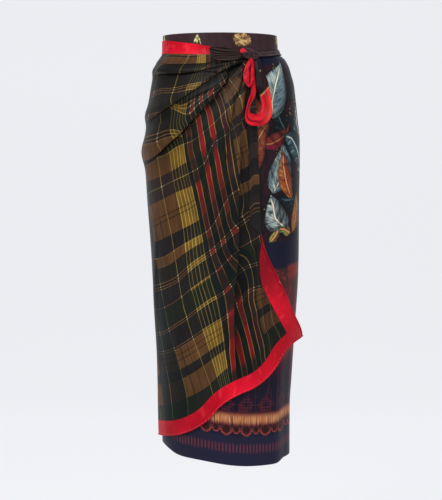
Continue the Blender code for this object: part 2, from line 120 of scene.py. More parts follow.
# Each crease's cloth stands up on its upper side by `height` and falls away over `spread`;
# `lap` is how far that side hangs over the other, `tuck` the cloth hidden in the fold, and
# `slip` how far the cloth has slid along it.
Crease = namedtuple("Crease", "way height_in height_out spread lap tuck slip", defaults=(0.0,))
FAN = [
    Crease([(25.2, -0.0358), (16, -0.0348), (-10, -0.0409), (-34, -0.0428), (-63, -0.0407),
            (SEAM_ANGLE, -0.0380)], 0.0022, 0.0030, 0.012, 0.0018, 0.012),
    Crease([(25.4, -0.0374), (14, -0.0385), (3, -0.0431), (-13, -0.0535), (-28, -0.0592),
            (-48, -0.0616), (-79, -0.0625), (SEAM_ANGLE, -0.0640)],
           0.0032, 0.0068, 0.020, 0.0026, 0.016, 0.003),
    Crease([(25.6, -0.0390), (12, -0.0428), (4, -0.0505), (-5, -0.0643), (-15, -0.0830),
            (-25, -0.1021), (-41, -0.1290), (-49, -0.1389), (-74, -0.1600), (SEAM_ANGLE, -0.1800)],
           0.0048, 0.0078, 0.030, 0.0034, 0.026, 0.024),
    Crease([(25.9, -0.0410), (11, -0.0455), (4, -0.0559), (2, -0.0728), (-6, -0.1080),
            (-21, -0.1527), (-33, -0.1869), (-42, -0.2053), (-58, -0.2328), (-84, -0.2535),
            (SEAM_ANGLE, -0.2680)], 0.0070, 0.0120, 0.046, 0.0044, 0.034, 0.014),
]
PLEAT = Crease([(20, -0.0500), (16, -0.0950), (12, -0.1812), (10, -0.3265), (9, -0.4300),
                (7.5, -0.4760), (6, -0.5131), (5.5, -0.5753), (6.5, -0.6375), (7.5, -0.6999),
                (8.5, -0.8400)], 0.0016, 0.0062, 0.050, 0.0032, 0.0)
SOFT = [
    Crease([(-60, -0.3300), (-66, -0.4600), (-74, -0.6200), (-78, -0.8900)],
           0.0005, 0.0048, 0.040, 0.0, 0.0),
    Crease([(-102, -0.2900), (-104, -0.4600), (-108, -0.8900)], 0.0010, 0.0070, 0.040, 0.0, 0.0),
    Crease([(17, -0.0560), (12, -0.0950), (7, -0.1400), (4, -0.1900), (1, -0.2800), (4, -0.3500)],
           0.0050, 0.0022, 0.022, 0.0010, 0.0),
    Crease([(21, -0.0520), (18, -0.0950), (17, -0.1500), (19, -0.2300), (21, -0.3300)],
           0.0045, 0.0020, 0.020, 0.0008, 0.0),
    Crease([(-30, -0.3100), (-24, -0.3900), (-20, -0.4600), (-27, -0.5200), (-40, -0.6000)],
           0.0004, 0.0030, 0.030, 0.0, 0.0),
    Crease([(16, -0.052), (2, -0.058), (-18, -0.062), (-40, -0.060), (-62, -0.058)],
           0.0012, 0.0034, 0.014, 0.0010, 0.0),
    Crease([(15, -0.060), (4, -0.078), (-10, -0.100), (-26, -0.122), (-48, -0.150)],
           0.0012, 0.0042, 0.020, 0.0010, 0.0),
    Crease([(20, -0.070), (16, -0.120), (17, -0.190), (20, -0.270), (23, -0.350)],
           0.0016, 0.0034, 0.018, 0.0006, 0.0),
    Crease([(13, -0.066), (7, -0.110), (8, -0.180), (12, -0.260), (15, -0.340)],
           0.0012, 0.0030, 0.016, 0.0006, 0.0),
]
PLEAT_COLUMN = [
    (11, -0.0455), (13.4, -0.0850), (12.6, -0.1400), (12, -0.1812), (10, -0.3265), (9, -0.4300),
    (7.5, -0.4760), (6, -0.5131), (5.5, -0.5753), (6.5, -0.6375), (7.5, -0.6999), (9, -0.7330),
]

# ---------------------------------------------------------------- the pieces' own sizes

CLOTH = 0.0005          # thickness of one layer of silk
BAND_CLOTH = 0.0022
GATHER_CLOTH = 1.6 * CLOTH
TIE_CLOTH = 2 * CLOTH
BOW_CLOTH = 1.4 * CLOTH
BORDER = 0.031          # width of the scarf's red border

# Rows and columns of the pieces' grids.
FAN_ROWS = (10, 12, 16, 20)
FALL_ROWS = 104
FRONT_COLUMNS, BACK_COLUMNS = 62, 150
SKIRT_ROWS, SKIRT_COLUMNS = 150, 240
BAND_ROUND, BAND_COLUMNS = 48, 300
GATHER_ROWS, GATHER_COLUMNS = 90, 60
KNOT_ROWS, KNOT_AROUND = 64, 96
TIE_ROWS, TIE_COLUMNS = 14, 260
ROWS_BETWEEN_RIBS, RIB_COLUMNS = 12, 36
CROWDING = 0.86         # how much the wrap panel's rows and columns crowd where they start
SKIRT_CROWDING = 1.25
LINE_PIECES = 60        # straight pieces in which a line on the body is measured
WAY_STEPS = 400         # places at which a line's angle is looked up

# Pressed and bent lengths of the free edges: a narrow rolled hem, and the wide turned-under
# part of the front edge above the place where the border comes out.
ROLL, FRONT_ROLL = 0.0008, 0.0010
HEM_TURN, FRONT_TURN, SKIRT_TURN = 0.0030, 0.026, 0.007
TURN_ENDS, TURN_FROM = -0.4050, -0.3650
NARROW_TURN, TURN_WIDENS = 0.001, (-0.045, -0.075)      # beside the knot, and below it
# Columns of the turned-under cloth: shares of its width, and degrees round its bend.
TURN_SHARES = (1.0, 0.7, 0.4, 0.15)
TURN_BENDS = (180, 144, 108, 72, 36)
BELOW_FOOT = 0.0010     # from the waistband's lower edge to the skirt's upper one

# The waistband's rounded edges and its puckers; the scarf's small pulls and its unevenness.
BAND_SQUARE = 0.35
PUCKER = 0.0003
PULL_HEIGHT, PULL_REACH, PULLS_GROW = 0.0015, 0.10, (0.012, 0.035)
DRAPE_HEIGHT, DRAPE_GROWS = 0.0007, (0.05, 0.2)
LOW_DRAPE_HEIGHT, LOW_DRAPE_GROWS = 0.0005, (-0.08, -0.25)
WRINKLES_GROW = (-0.005, -0.03)

Span = namedtuple("Span", "step angle_top z_top angle_low z_low swell")
GATHER = [
    Span(0.00, -10.8, -0.0150, -10.8, -0.0180, 0.0000),
    Span(0.05, -10.2, -0.0100, -10.8, -0.0245, 0.0016),
    Span(0.12, -8.6, -0.0086, -9.6, -0.0310, 0.0034),
    Span(0.30, -3.0, -0.0088, -3.6, -0.0385, 0.0056),
    Span(0.55, 4.5, -0.0098, 4.5, -0.0386, 0.0066),
    Span(0.80, 12.0, -0.0138, 12.0, -0.0345, 0.0066),
    Span(1.00, 18.6, -0.0196, 18.0, -0.0290, 0.0052),
]
GATHER_OVER = 0.0032
GATHER_PLEATS = 4.6
PLEAT_HEIGHT = 0.0026

Bead = namedtuple("Bead", "angle z half_height half_depth")
KNOT = [
    Bead(16.6, -0.0238, 0.0040, 0.0024), Bead(17.4, -0.0238, 0.0082, 0.0050),
    Bead(19.2, -0.0236, 0.0104, 0.0066), Bead(21.8, -0.0232, 0.0116, 0.0076),
    Bead(24.6, -0.0228, 0.0122, 0.0078), Bead(27.4, -0.0224, 0.0116, 0.0070),
    Bead(29.8, -0.0214, 0.0096, 0.0056), Bead(31.6, -0.0206, 0.0064, 0.0040),
    Bead(32.4, -0.0202, 0.0030, 0.0020),
]
KNOT_OUT = 0.0135
KNOT_GROOVE = 0.095

TIE_LINE = [
    Level(29.0, -0.0228), Level(45, -0.0198), Level(60, -0.0165), Level(90, -0.0123),
    Level(150, -0.0118), Level(230, -0.0112),
]
TIE_HALF = 0.0052
TIE_ARCH = 0.0008
TIE_FOLD, TIE_WAVE = 0.0004, 0.0004
TIE_LIFT, TIE_RISES = 0.0078, (40, 29)      # degrees where it rises to the knot

Rib = namedtuple("Rib", "angle_a z_a out_a angle_b z_b out_b")
BOW_LOOP = [
    Rib(30.8, -0.0330, 0.0130, 26.6, -0.0322, 0.0128),
    Rib(31.0, -0.0520, 0.0170, 25.4, -0.0500, 0.0125),
    Rib(32.4, -0.0700, 0.0205, 25.0, -0.0690, 0.0120),
    Rib(33.4, -0.0900, 0.0235, 24.8, -0.0880, 0.0122),
    Rib(34.0, -0.1160, 0.0258, 27.4, -0.1080, 0.0125),
    Rib(34.2, -0.1390, 0.0270, 28.6, -0.1260, 0.0122),
    Rib(31.6, -0.1610, 0.0265, 27.0, -0.1425, 0.0118),
    Rib(25.4, -0.1730, 0.0258, 23.4, -0.1485, 0.0114),
    Rib(19.6, -0.1735, 0.0250, 20.6, -0.1475, 0.0114),
    Rib(15.3, -0.1670, 0.0245, 19.0, -0.1430, 0.0116),
    Rib(14.3, -0.1550, 0.0240, 19.2, -0.1345, 0.0118),
    Rib(15.8, -0.1345, 0.0228, 20.8, -0.1240, 0.0122),
    Rib(18.0, -0.1155, 0.0205, 23.2, -0.1130, 0.0124),
    Rib(19.9, -0.1020, 0.0175, 24.4, -0.1000, 0.0124),
    Rib(20.2, -0.0800, 0.0146, 24.0, -0.0790, 0.0128),
    Rib(22.8, -0.0345, 0.0130, 25.7, -0.0343, 0.0128),
]
BOW_TAIL = [
    Rib(21.4, -0.0330, 0.0160, 24.2, -0.0322, 0.0160),
    Rib(17.6, -0.0460, 0.0185, 23.6, -0.0480, 0.0185),
    Rib(15.2, -0.0610, 0.0202, 23.0, -0.0630, 0.0198),
    Rib(14.3, -0.0750, 0.0208, 22.2, -0.0775, 0.0203),
    Rib(15.6, -0.0855, 0.0210, 20.6, -0.0870, 0.0206),
    Rib(17.6, -0.0935, 0.0210, 18.4, -0.0938, 0.0210),
]
LOOP_BOW = 0.0030
TAIL_BOW = 0.0036
LOOP_FOLDS = [(0.40, 0.12, 0.0022), (0.76, 0.08, 0.0010)]     # place, width and depth across it
TAIL_FOLDS = [(0.58, 0.10, 0.0048), (0.25, 0.07, 0.0010)]


# ---------------------------------------------------------------- curves and forms

def column(table, name):
    """One column of a table of named tuples."""
    return np.array([getattr(row, name) for row in table], float)


def curve(x, y, at):
    """Values at `at` of the smooth curve through the points (x, y), without overshoot."""
    x, y = np.array(x, float), np.array(y, float)
    at = np.clip(np.asarray(at, float), x[0], x[-1])
    step = np.diff(x)
    rise = np.diff(y) / step
    slope = np.concatenate([[rise[0]], (rise[:-1] + rise[1:]) / 2, [rise[-1]]])
    steepest = 2 * np.minimum(np.abs(rise[:-1]), np.abs(rise[1:])) * (rise[:-1] * rise[1:] > 0)
    slope[1:-1] = np.clip(slope[1:-1], -steepest, steepest)
    cell = np.clip(np.searchsorted(x, at, side="right") - 1, 0, len(step) - 1)
    u = (at - x[cell]) / step[cell]
    entry = (1 + 2 * u) * (1 - u) ** 2 * y[cell] + u * (1 - u) ** 2 * step[cell] * slope[cell]
    leave = u ** 2 * (3 - 2 * u) * y[cell + 1] - u ** 2 * (1 - u) * step[cell] * slope[cell + 1]
    return entry + leave


def smooth(table, key, value, at):
    """Curve through the table's column `value` over its column `key`."""
    return curve(column(table, key), column(table, value), at)


def ease(low, high, at):
    """0 below `low`, 1 above `high`, smooth between."""
    u = np.clip((at - low) / (high - low), 0, 1)
    return u * u * (3 - 2 * u)


def blend(first, last, share):
    """`first` at share 0 and `last` at share 1."""
    return first + (last - first) * share


def pair(first, second):
    """Two values for each place, side by side on a last axis."""
    return np.stack(np.broadcast_arrays(first, second), axis=-1)


def turned(angle, centre):
    """Signed degrees from `centre` to `angle`, the short way round."""
    return (angle - centre + 180) % 360 - 180


def flute(angle, z):
    """How far the skirt's own soft folds stand out of its plain form."""
    out = np.zeros(np.broadcast(angle, z).shape)
    for fold in FLUTES:
        grown = ease(fold.top, HEM_LEVEL, z)
        out = out + fold.depth * grown * np.exp(-(turned(angle, fold.angle) / fold.spread) ** 2)
    return out


def on_body(angle, z, out):
    """Points at angles and heights, `out` metres outside the middle of the skirt's wall."""
    angle, z, out = np.broadcast_arrays(*(np.asarray(part, float) for part in (angle, z, out)))
    right, left, front, back = (smooth(RINGS, "z", part, z) for part in Ring._fields[1:])
    across = np.sin(np.radians(angle))
    toward = -np.cos(np.radians(angle))
    half_x = (right + left) / 2
    half_y = (front + back) / 2
    length = np.hypot(across / half_x, toward / half_y)
    off = out + flute(angle, z)
    x = (left - right) / 2 + half_x * across + off * across / half_x / length
    y = (back - front) / 2 + half_y * toward + off * toward / half_y / length
    return np.stack([x, y, z], axis=-1)


def along(way, share):
    """Points at shares of the length of the smooth line through `way`."""
    way = np.array(way, float)
    walked = np.concatenate([[0], np.cumsum(np.hypot(*(np.diff(way, axis=0) * (ARC, 1)).T))])
    at = np.asarray(share) * walked[-1]
    return np.stack([curve(walked, way[:, part], at) for part in (0, 1)], axis=-1)


def near_line(angle, z, way):
    """Signed distance from a line, share of the way along it, and the unit way across it.

    The distance is above 0 on the line's right hand, seen from outside the body.
    """
    line = along(way, np.linspace(0, 1, LINE_PIECES + 1)) * (ARC, 1)
    place = pair(angle * ARC, z)
    best = np.full(angle.shape, np.inf)
    share = np.zeros(angle.shape)
    cross = np.zeros(angle.shape + (2,))
    side = np.ones(angle.shape)
    for number, (start, end) in enumerate(zip(line[:-1], line[1:])):
        run = end - start
        offset = place - start
        u = np.clip(offset @ run / (run @ run), 0, 1)
        distance = np.linalg.norm(offset - u[..., None] * run, axis=-1)
        hand = np.array([run[1], -run[0]]) / np.hypot(*run)
        closer = distance < best
        best = np.where(closer, distance, best)
        share = np.where(closer, (number + u) / LINE_PIECES, share)
        side = np.where(closer, np.where(offset @ hand < 0, -1.0, 1.0), side)
        cross = np.where(closer[..., None], hand, cross)
    return best * side, share, cross


# How a crease stands: its crest on the upper side, its trough on the lower, in its own spreads.
NARROWEST = 0.25        # share of its spread that a crease keeps at the knot
WIDE_FROM = 0.6         # share of its way where it has all its spread
CREST_RISE, CREST_FALL, CREST_PEAK = 0.18, 1.6, 1.3
TROUGH_DEPTH, TROUGH_FALL = 3.2, 0.20
GROWS_FROM, GROWS_TO = 0.05, 0.55
SET_IN = 0.2            # share of its way where its lap and its painted shade have set in
LAP_REACH = 0.0026      # metres from a crease at which its lap is largest
TUCK_REACH = 0.0022     # metres on each side of it over which its tuck is taken up
# The painted shade below a crease, which darkens the cloth's colour: how far below it the cloth
# stays dark, and where the dark sets in.
SHADED = 0.0170
SHADE_EDGE = (0.0016, -0.0008)
SHADE_HEIGHT = 0.0045   # a crease this high has its full painted shade
# Shares of a crease's way up to which its painted shade is full, and where it has gone.
FAN_SHADE_FULL, PLEAT_SHADE_FULL, SHADE_GONE = 0.95, 0.75, 1.02
# Between these degrees towards the wearer's right, creases turn into soft swells.
SOFT_FROM, SOFT_TO = 46, 80
SOFT_CREST, SOFT_PLACE, SOFT_WIDTH = 0.74, 0.66, 0.58
SOFT_TUCK = 0.028       # added to the tuck's reach
# Heights where the long pleat's form and its lap begin to fade and where they end.
PLEAT_FADES, PLEAT_ENDS = -0.640, -0.735
PLEAT_LAP_FADES, PLEAT_LAP_ENDS = -0.45, -0.65
# The folds are pressed flat near the knot, up to these reaches, and along the back seam.
KNOT_AT = (22.0, -0.036)
PRESSED_REACH, FREE_REACH = 0.010, 0.030
SEAM_FADE = 16.0
# Depths, as -z, where the panel leaves the waistband's face, and the least distance it keeps.
STRIP_FOOT, BELOW_STRIP = 0.012, 0.040
LEAST_FROM, LEAST_BELOW, LEAST_OUT = 0.020, 0.030, 0.0036
# The free corner hangs away from the skirt.
CORNER, CORNER_LIFT, CORNER_REACH = (82.0, -0.6178), 0.0125, 0.075


def away_from(place, angle, z):
    """Metres of cloth from a place on the body."""
    return np.hypot((angle - place[0]) * ARC, z - place[1])


def crease_profile(crease, distance, share, soft):
    """The form across a crease, in its heights: crest above and trough below, or a soft swell."""
    spread = crease.spread * blend(NARROWEST, 1, ease(0, WIDE_FROM, share))
    reach = np.abs(distance) / spread
    crest = CREST_PEAK * (1 - np.exp(-reach / CREST_RISE)) * np.exp(-reach ** CREST_FALL)
    trough = -TROUGH_DEPTH * reach * np.exp(-reach / TROUGH_FALL)
    swell = SOFT_CREST * np.exp(-((distance / spread - SOFT_PLACE) / SOFT_WIDTH) ** 2)
    return blend(np.where(distance > 0, crest, trough), swell, soft)


def crease_height(crease, share, z):
    """A crease's height along its way; the long pleat's fades near the border."""
    height = blend(crease.height_in, crease.height_out, ease(GROWS_FROM, GROWS_TO, share))
    return height * ease(PLEAT_ENDS, PLEAT_FADES, z) if crease is PLEAT else height


def crease_lap(crease, distance, z):
    """How far a crease's upper side hangs over the other; the long pleat's ends half-way."""
    q = distance / LAP_REACH
    lap = crease.lap * q * np.exp(1 - np.abs(q))
    return lap * (1 - ease(PLEAT_LAP_FADES, PLEAT_LAP_ENDS, z)) if crease is PLEAT else lap


def painted_crease_shade(crease, distance, share, height):
    """How much painted shade darkens the cloth's colour just below a crease."""
    under = np.exp(-np.maximum(-distance, 0) / SHADED) * ease(*SHADE_EDGE, distance)
    full = PLEAT_SHADE_FULL if crease is PLEAT else FAN_SHADE_FULL
    return under * ease(0, SHADE_HEIGHT, height) * ease(SHADE_GONE, full, share)


def folded(angle, z):
    """The wrap panel's cloth at places on the body.

    Gives the places shifted by the laps of its creases, the cloth's distance outside the
    skirt, the cloth hidden in the folds, across and down, and the painted shade below them.
    """
    unpressed = ease(PRESSED_REACH, FREE_REACH, away_from(KNOT_AT, angle, z))
    unpressed = unpressed * ease(0, SEAM_FADE, angle - SEAM_ANGLE)
    soft = ease(SOFT_FROM, SOFT_TO, -angle)
    rise, depth = np.zeros((2,) + angle.shape)
    shift, hidden = np.zeros((2,) + angle.shape + (2,))
    for crease in (*FAN, PLEAT, *SOFT):
        distance, share, cross = near_line(angle, z, crease.way)
        height = crease_height(crease, share, z)
        sharp = ease(0, SET_IN, share) * (1 - soft)
        rise += height * crease_profile(crease, distance, share, soft)
        lap = crease_lap(crease, distance, z) * unpressed * sharp
        shift -= lap[..., None] * cross
        # Painted shade: below each sharp crease the cloth's colour is darkened, where shade falls.
        if crease not in SOFT:
            depth = np.maximum(depth, painted_crease_shade(crease, distance, share, height) * sharp)
        reached = TUCK_REACH + SOFT_TUCK * soft
        past = unpressed * ease(-reached, reached, distance)
        hidden += past[..., None] * (crease.slip, crease.tuck)
    base = blend(STRIP_OUT, PANEL_OUT, ease(STRIP_FOOT, BELOW_STRIP, -z))
    lift = CORNER_LIFT * np.exp(-(away_from(CORNER, angle, z) / CORNER_REACH) ** 2)
    least = blend(STRIP_OUT, LEAST_OUT, ease(LEAST_FROM, LEAST_BELOW, -z))
    out = np.maximum(base + rise * unpressed + lift, least)
    return angle + shift[..., 0] / ARC, z + shift[..., 1], out, hidden, depth * unpressed


def crowded(count):
    """Shares from 0 to 1, closer together at both ends."""
    return (1 - np.cos(np.pi * np.linspace(0, 1, count))) / 2


def crowded_start(count):
    """Shares from 0 to 1, closer together at the start."""
    at = np.linspace(0, 1, count)
    return at ** 1.5 * CROWDING + at * (1 - CROWDING)


def fill(top, low, start, end, s, t):
    """Grid of places filling a four-sided outline, `s` along the rows and `t` down them."""
    s = s[None, :, None]
    t = t[:, None, None]
    corners = (1 - t) * ((1 - s) * top[0] + s * top[-1]) + t * ((1 - s) * low[0] + s * low[-1])
    sides = (1 - s) * start[:, None] + s * end[:, None]
    return (1 - t) * top[None] + t * low[None] + sides - corners


def normals(grid, ring=False):
    """Unit normals of a grid of points, outward when rows run down and columns leftward."""
    if ring:
        across = np.roll(grid, -1, axis=1) - np.roll(grid, 1, axis=1)
    else:
        across = np.gradient(grid, axis=1)
    facing = np.cross(np.gradient(grid, axis=0), across)
    return facing / np.maximum(np.linalg.norm(facing, axis=-1, keepdims=True), 1e-12)


# ---------------------------------------------------------------- meshes

CRISP = math.radians(70)        # faces that meet at a sharper angle keep their edge
RIM_LAYER = np.array([0, 0, 1, 1])
RIM_STEP = np.array([0, 1, 1, 0])


def cells(rows, columns):
    """Rows and columns of the corners of a grid's cells, in turn round each cell."""
    row, place = (part.reshape(-1, 1) for part in np.mgrid[0:rows, 0:columns])
    return row + RIM_STEP, place + RIM_LAYER


def mesh_piece(name, points, faces, corner_maps, material):
    """An object of four-cornered faces with a UV map for each entry of `corner_maps`."""
    mesh = bpy.data.meshes.new(name)
    mesh.from_pydata(points.reshape(-1, 3).tolist(), [], faces.tolist())
    for label, values in corner_maps.items():
        layer = mesh.uv_layers.new(name=label)
        layer.data.foreach_set("uv", values.reshape(-1).astype(np.float32))
    mesh.polygons.foreach_set("use_smooth", [True] * len(mesh.polygons))
    mesh.update()
    mesh.set_sharp_from_angle(angle=CRISP)
    mesh.materials.append(material)
    piece = bpy.data.objects.new(name, mesh)
    bpy.context.collection.objects.link(piece)
    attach(piece, "root")
    return piece


def shell(name, grid, wall, maps, material, ring=False):
    """A thin closed wall on a grid of middle points.

    Each map has a pair of values for each point, and for a ring one column more.
    """
    rows, columns = grid.shape[:2]
    step = normals(grid, ring) * wall / 2
    spans = columns if ring else columns - 1
    row, place = cells(rows - 1, spans)
    sides = [(0, row, place), (1, row[:, ::-1], place[:, ::-1])]
    for edge, way in ((0, 1), (rows - 1, -1)):
        sides.append((RIM_LAYER[::way], edge, np.arange(spans)[:, None] + RIM_STEP[::way]))
    if not ring:
        for edge, way in ((0, -1), (columns - 1, 1)):
            sides.append((RIM_LAYER[::way], np.arange(rows - 1)[:, None] + RIM_STEP[::way], edge))
    layer, row, place = (np.concatenate(part)
                         for part in zip(*(np.broadcast_arrays(*side) for side in sides)))
    faces = (layer * rows + row) * columns + place % columns
    corner_maps = {label: values[row, place] for label, values in maps.items()}
    return mesh_piece(name, np.stack([grid + step, grid - step]), faces, corner_maps, material)


# ---------------------------------------------------------------- the cloth's own coordinates

FLATTER = 0.0123        # the hips are wider than deep, so equal angles hold unequal cloth


def round_body(angle):
    """Metres of cloth round the body from the front to an angle."""
    return ARC * angle + FLATTER * np.sin(np.radians(2 * angle))


# How the scarf's grain lies on the body. Each line of yarn is named by the cloth's metres from
# the front edge, or up from the hem, and followed from place to place as (angle, z). The cloth
# hidden in folds is counted in.
WARP_LINES = {
    0.0: [(64, -0.565), (82, -0.618)],
    0.014: [(45, -0.513)],
    0.028: [(38, -0.479)],
    0.040: [(31, -0.423)],
    0.046: [(42, -0.583), (49, -0.605)],
    0.034: [(25, -0.095), (24, -0.225)],
    0.049: [(27, -0.399)],
    0.056: [(8, -0.040), (10, -0.095), (13, -0.148), (16, -0.200), (19, -0.252), (23, -0.316)],
    0.080: [(0, -0.093), (3, -0.120), (5, -0.161), (8, -0.188), (10, -0.231), (12, -0.285),
            (16.5, -0.365), (20, -0.400), (22.5, -0.430), (24.5, -0.475), (26, -0.512), (30, -0.560),
            (36, -0.610)],
    0.0985: [(-3, -0.111), (0, -0.140), (3, -0.180), (9, -0.358), (18, -0.536),
             (22, -0.581), (26, -0.616), (30, -0.663)],
    0.126: [(-11, -0.108), (-10, -0.146), (-8, -0.180), (-6, -0.225), (-3, -0.275), (0, -0.316),
            (3, -0.350), (6, -0.387), (8, -0.424), (11, -0.534), (15, -0.580), (19, -0.620),
            (24, -0.665), (27, -0.700)],
    0.1535: [(-18, -0.162), (-15, -0.200), (-13, -0.233), (-11, -0.258), (-9, -0.295),
             (-6, -0.350), (-2, -0.400), (3, -0.447), (7, -0.476), (9, -0.613), (12, -0.650),
             (15, -0.686), (18, -0.717)],
    0.181: [(-25, -0.223), (-20, -0.275), (-16, -0.327), (-13, -0.378), (-10, -0.417),
            (-5, -0.465), (0, -0.505), (3, -0.548), (4, -0.596), (4, -0.642), (6, -0.691),
            (8, -0.725)],
    0.212: [(-17, -0.043), (-19, -0.060), (-20, -0.080), (-31, -0.122), (-32, -0.181),
            (-33, -0.222), (-32, -0.262), (-29, -0.300), (-26, -0.337), (-24, -0.377),
            (-23, -0.420), (-22, -0.455), (-20, -0.503), (-15, -0.545), (-10, -0.600),
            (-5, -0.660), (0, -0.716)],
    0.250: [(-31, -0.021), (-35, -0.048), (-39, -0.073), (-41, -0.115), (-51, -0.156),
            (-52, -0.213), (-56, -0.243), (-52, -0.295), (-47, -0.358), (-43, -0.415),
            (-40, -0.473), (-36, -0.536), (-32, -0.584), (-25, -0.633), (-20, -0.666),
            (-12, -0.723), (-9, -0.752)],
    0.305: [(-35, -0.811), (-85, -0.225)],
    0.405: [(-76, -0.831)],
    0.440: [(-95, -0.832)],
    0.470: [(-128, -0.650)],
    0.430: [(-128, -0.450)],
    0.390: [(-128, -0.250)],
    0.370: [(-128, -0.010)],
}
WEFT_LINES = {
    0.0: [(-128, -0.833), (-95, -0.832), (-35, -0.811), (2, -0.743), (39, -0.687), (82, -0.618)],
    0.031: [(-73, -0.799), (-37, -0.779), (-23, -0.760), (-10, -0.744), (-1, -0.714), (6, -0.696),
            (17, -0.682), (32, -0.654), (40, -0.621), (50, -0.606)],
    0.168: [(-72, -0.653), (-38, -0.630), (-17, -0.596), (4, -0.561), (15, -0.519), (29, -0.508)],
    0.183: [(-128, -0.650)],
    0.221: [(-69, -0.611), (-42, -0.585), (-26, -0.558), (-11, -0.530), (0, -0.513), (11, -0.470),
            (25, -0.457)],
    0.271: [(-76, -0.561), (-47, -0.544), (-28, -0.512), (-15, -0.488), (-6, -0.472),
            (10, -0.428), (24, -0.406)],
    0.325: [(-76, -0.513), (-42, -0.492), (-31, -0.470), (-20, -0.448), (-9, -0.428), (8, -0.380),
            (16, -0.357), (22, -0.347)],
    0.378: [(-81, -0.447), (-40, -0.423), (-20, -0.396), (-13, -0.387), (1, -0.320), (13, -0.289),
            (19, -0.280), (23, -0.274), (-128, -0.450)],
    0.449: [(-88, -0.379), (-41, -0.350), (-20, -0.322)],
    0.488: [(-88, -0.337), (-38, -0.308), (-23, -0.293)],
    0.517: [(-88, -0.316), (-53, -0.296), (-26, -0.267), (-14, -0.249), (-8, -0.205), (1, -0.191),
            (5, -0.180), (14, -0.156)],
    0.541: [(-88, -0.282), (-47, -0.268), (-29, -0.244)],
    0.550: [(-128, -0.280)],
    0.582: [(-49, -0.232), (-31, -0.208)],
    0.600: [(24, -0.060)],
    0.652: [(-79, -0.193), (-50, -0.184), (-33, -0.176), (-25, -0.168)],
    0.708: [(-74, -0.146), (-49, -0.137), (-36, -0.128), (-25, -0.117)],
    0.720: [(-128, -0.120)],
    0.772: [(-74, -0.099), (-47, -0.091), (-26, -0.083), (-13, -0.074)],
    0.834: [(-68, -0.048), (-38, -0.048), (-20, -0.045)],
    0.880: [(-128, 0.000), (-55, -0.018), (-19, -0.020)],
}
SUPPLENESS = 0.0003     # how far the fitted grain may pass beside its marks
# The long pleat hides this much cloth, shared out over a spread on both sides of it.
PLEAT_TUCK, PLEAT_SPREAD = 0.042, 0.10
TUCK_SHOWS, TUCK_HIDES = (-0.31, -0.42), (-0.71, -0.51)
# Down the front edge the border comes out from under it between these heights; above them, so
# many of its widths are turned under.
BORDER_OUT_FROM, BORDER_OUT_TO = -0.375, -0.520
BORDER_TURNED = 1.1
FRONT_STRETCH = 0.74    # the border is wider along the front edge, which is cut on the bias
TOP_FOLD = [(-128, -0.0168), (-75, -0.0168), (-45, -0.0200), (-17, -0.0232), (40, -0.0240)]


def bend_fit(places, values, at):
    """Values at places `at` of a softly bent surface through given places."""
    def pull(first, second):
        gap = np.linalg.norm(first[:, None] - second[None], axis=-1)
        return gap ** 2 * np.log(np.maximum(gap, 1e-9))

    def plain(points):
        return np.concatenate([np.ones((len(points), 1)), points], axis=1)

    count = len(places)
    system = np.zeros((count + 3, count + 3))
    system[:count, :count] = pull(places, places) + SUPPLENESS * np.eye(count)
    system[:count, count:] = plain(places)
    system[count:, :count] = plain(places).T
    weights = np.linalg.solve(system, np.concatenate([values, np.zeros(3)]))
    return pull(at, places) @ weights[:count] + plain(at) @ weights[count:]


def pleat_tuck(angle, z):
    """Cloth hidden by the long pleat, shared out on both sides of it."""
    distance = near_line(angle, z, PLEAT.way)[0]
    shown = ease(*TUCK_SHOWS, z) * ease(*TUCK_HIDES, z)
    side = 2 * ease(-TUCK_REACH, TUCK_REACH, distance) - 1
    return PLEAT_TUCK / 2 * shown * side * np.exp(-np.abs(distance) / PLEAT_SPREAD)


def scarf_maps(angle, z, hidden, depth):
    """The wrap panel's maps: its own cloth coordinates, distances to its edges, and the painted
    shade of its creases with the height.
    """
    hidden = hidden.copy()
    hidden[..., 0] += pleat_tuck(angle, z)
    at = pair(round_body(angle), z).reshape(-1, 2)
    cloth = np.zeros(angle.shape + (2,))
    for part, lines in enumerate((WARP_LINES, WEFT_LINES)):
        marks = [(*place, value) for value, line in lines.items() for place in line]
        mark_angle, mark_z, value = np.array(marks).T
        tucked = folded(mark_angle, mark_z)[3]
        tucked[:, 0] += pleat_tuck(mark_angle, mark_z)
        places = pair(round_body(mark_angle), mark_z)
        fitted = bend_fit(places, value - tucked[:, part], at)
        cloth[..., part] = fitted.reshape(angle.shape) + hidden[..., part]

    def from_edge(way):
        bent = [(round_body(a) / ARC, height) for a, height in way]
        return np.abs(near_line(round_body(angle) / ARC, z, bent)[0])

    turned_in = BORDER_TURNED * BORDER * ease(BORDER_OUT_TO, BORDER_OUT_FROM, z)
    free = np.minimum(from_edge(HEM_EDGE), FRONT_STRETCH * from_edge(FRONT_EDGE) + turned_in)
    top = z - curve(*zip(*TOP_FOLD), angle)
    return {"cloth": cloth, "edge": pair(free, top), "fold": pair(depth, z)}


def share_at(way, angle):
    """Share of the way along a leftward-running line where it passes an angle."""
    shares = np.linspace(0, 1, WAY_STEPS)
    return np.interp(-angle, -along(way, shares)[:, 0], shares)


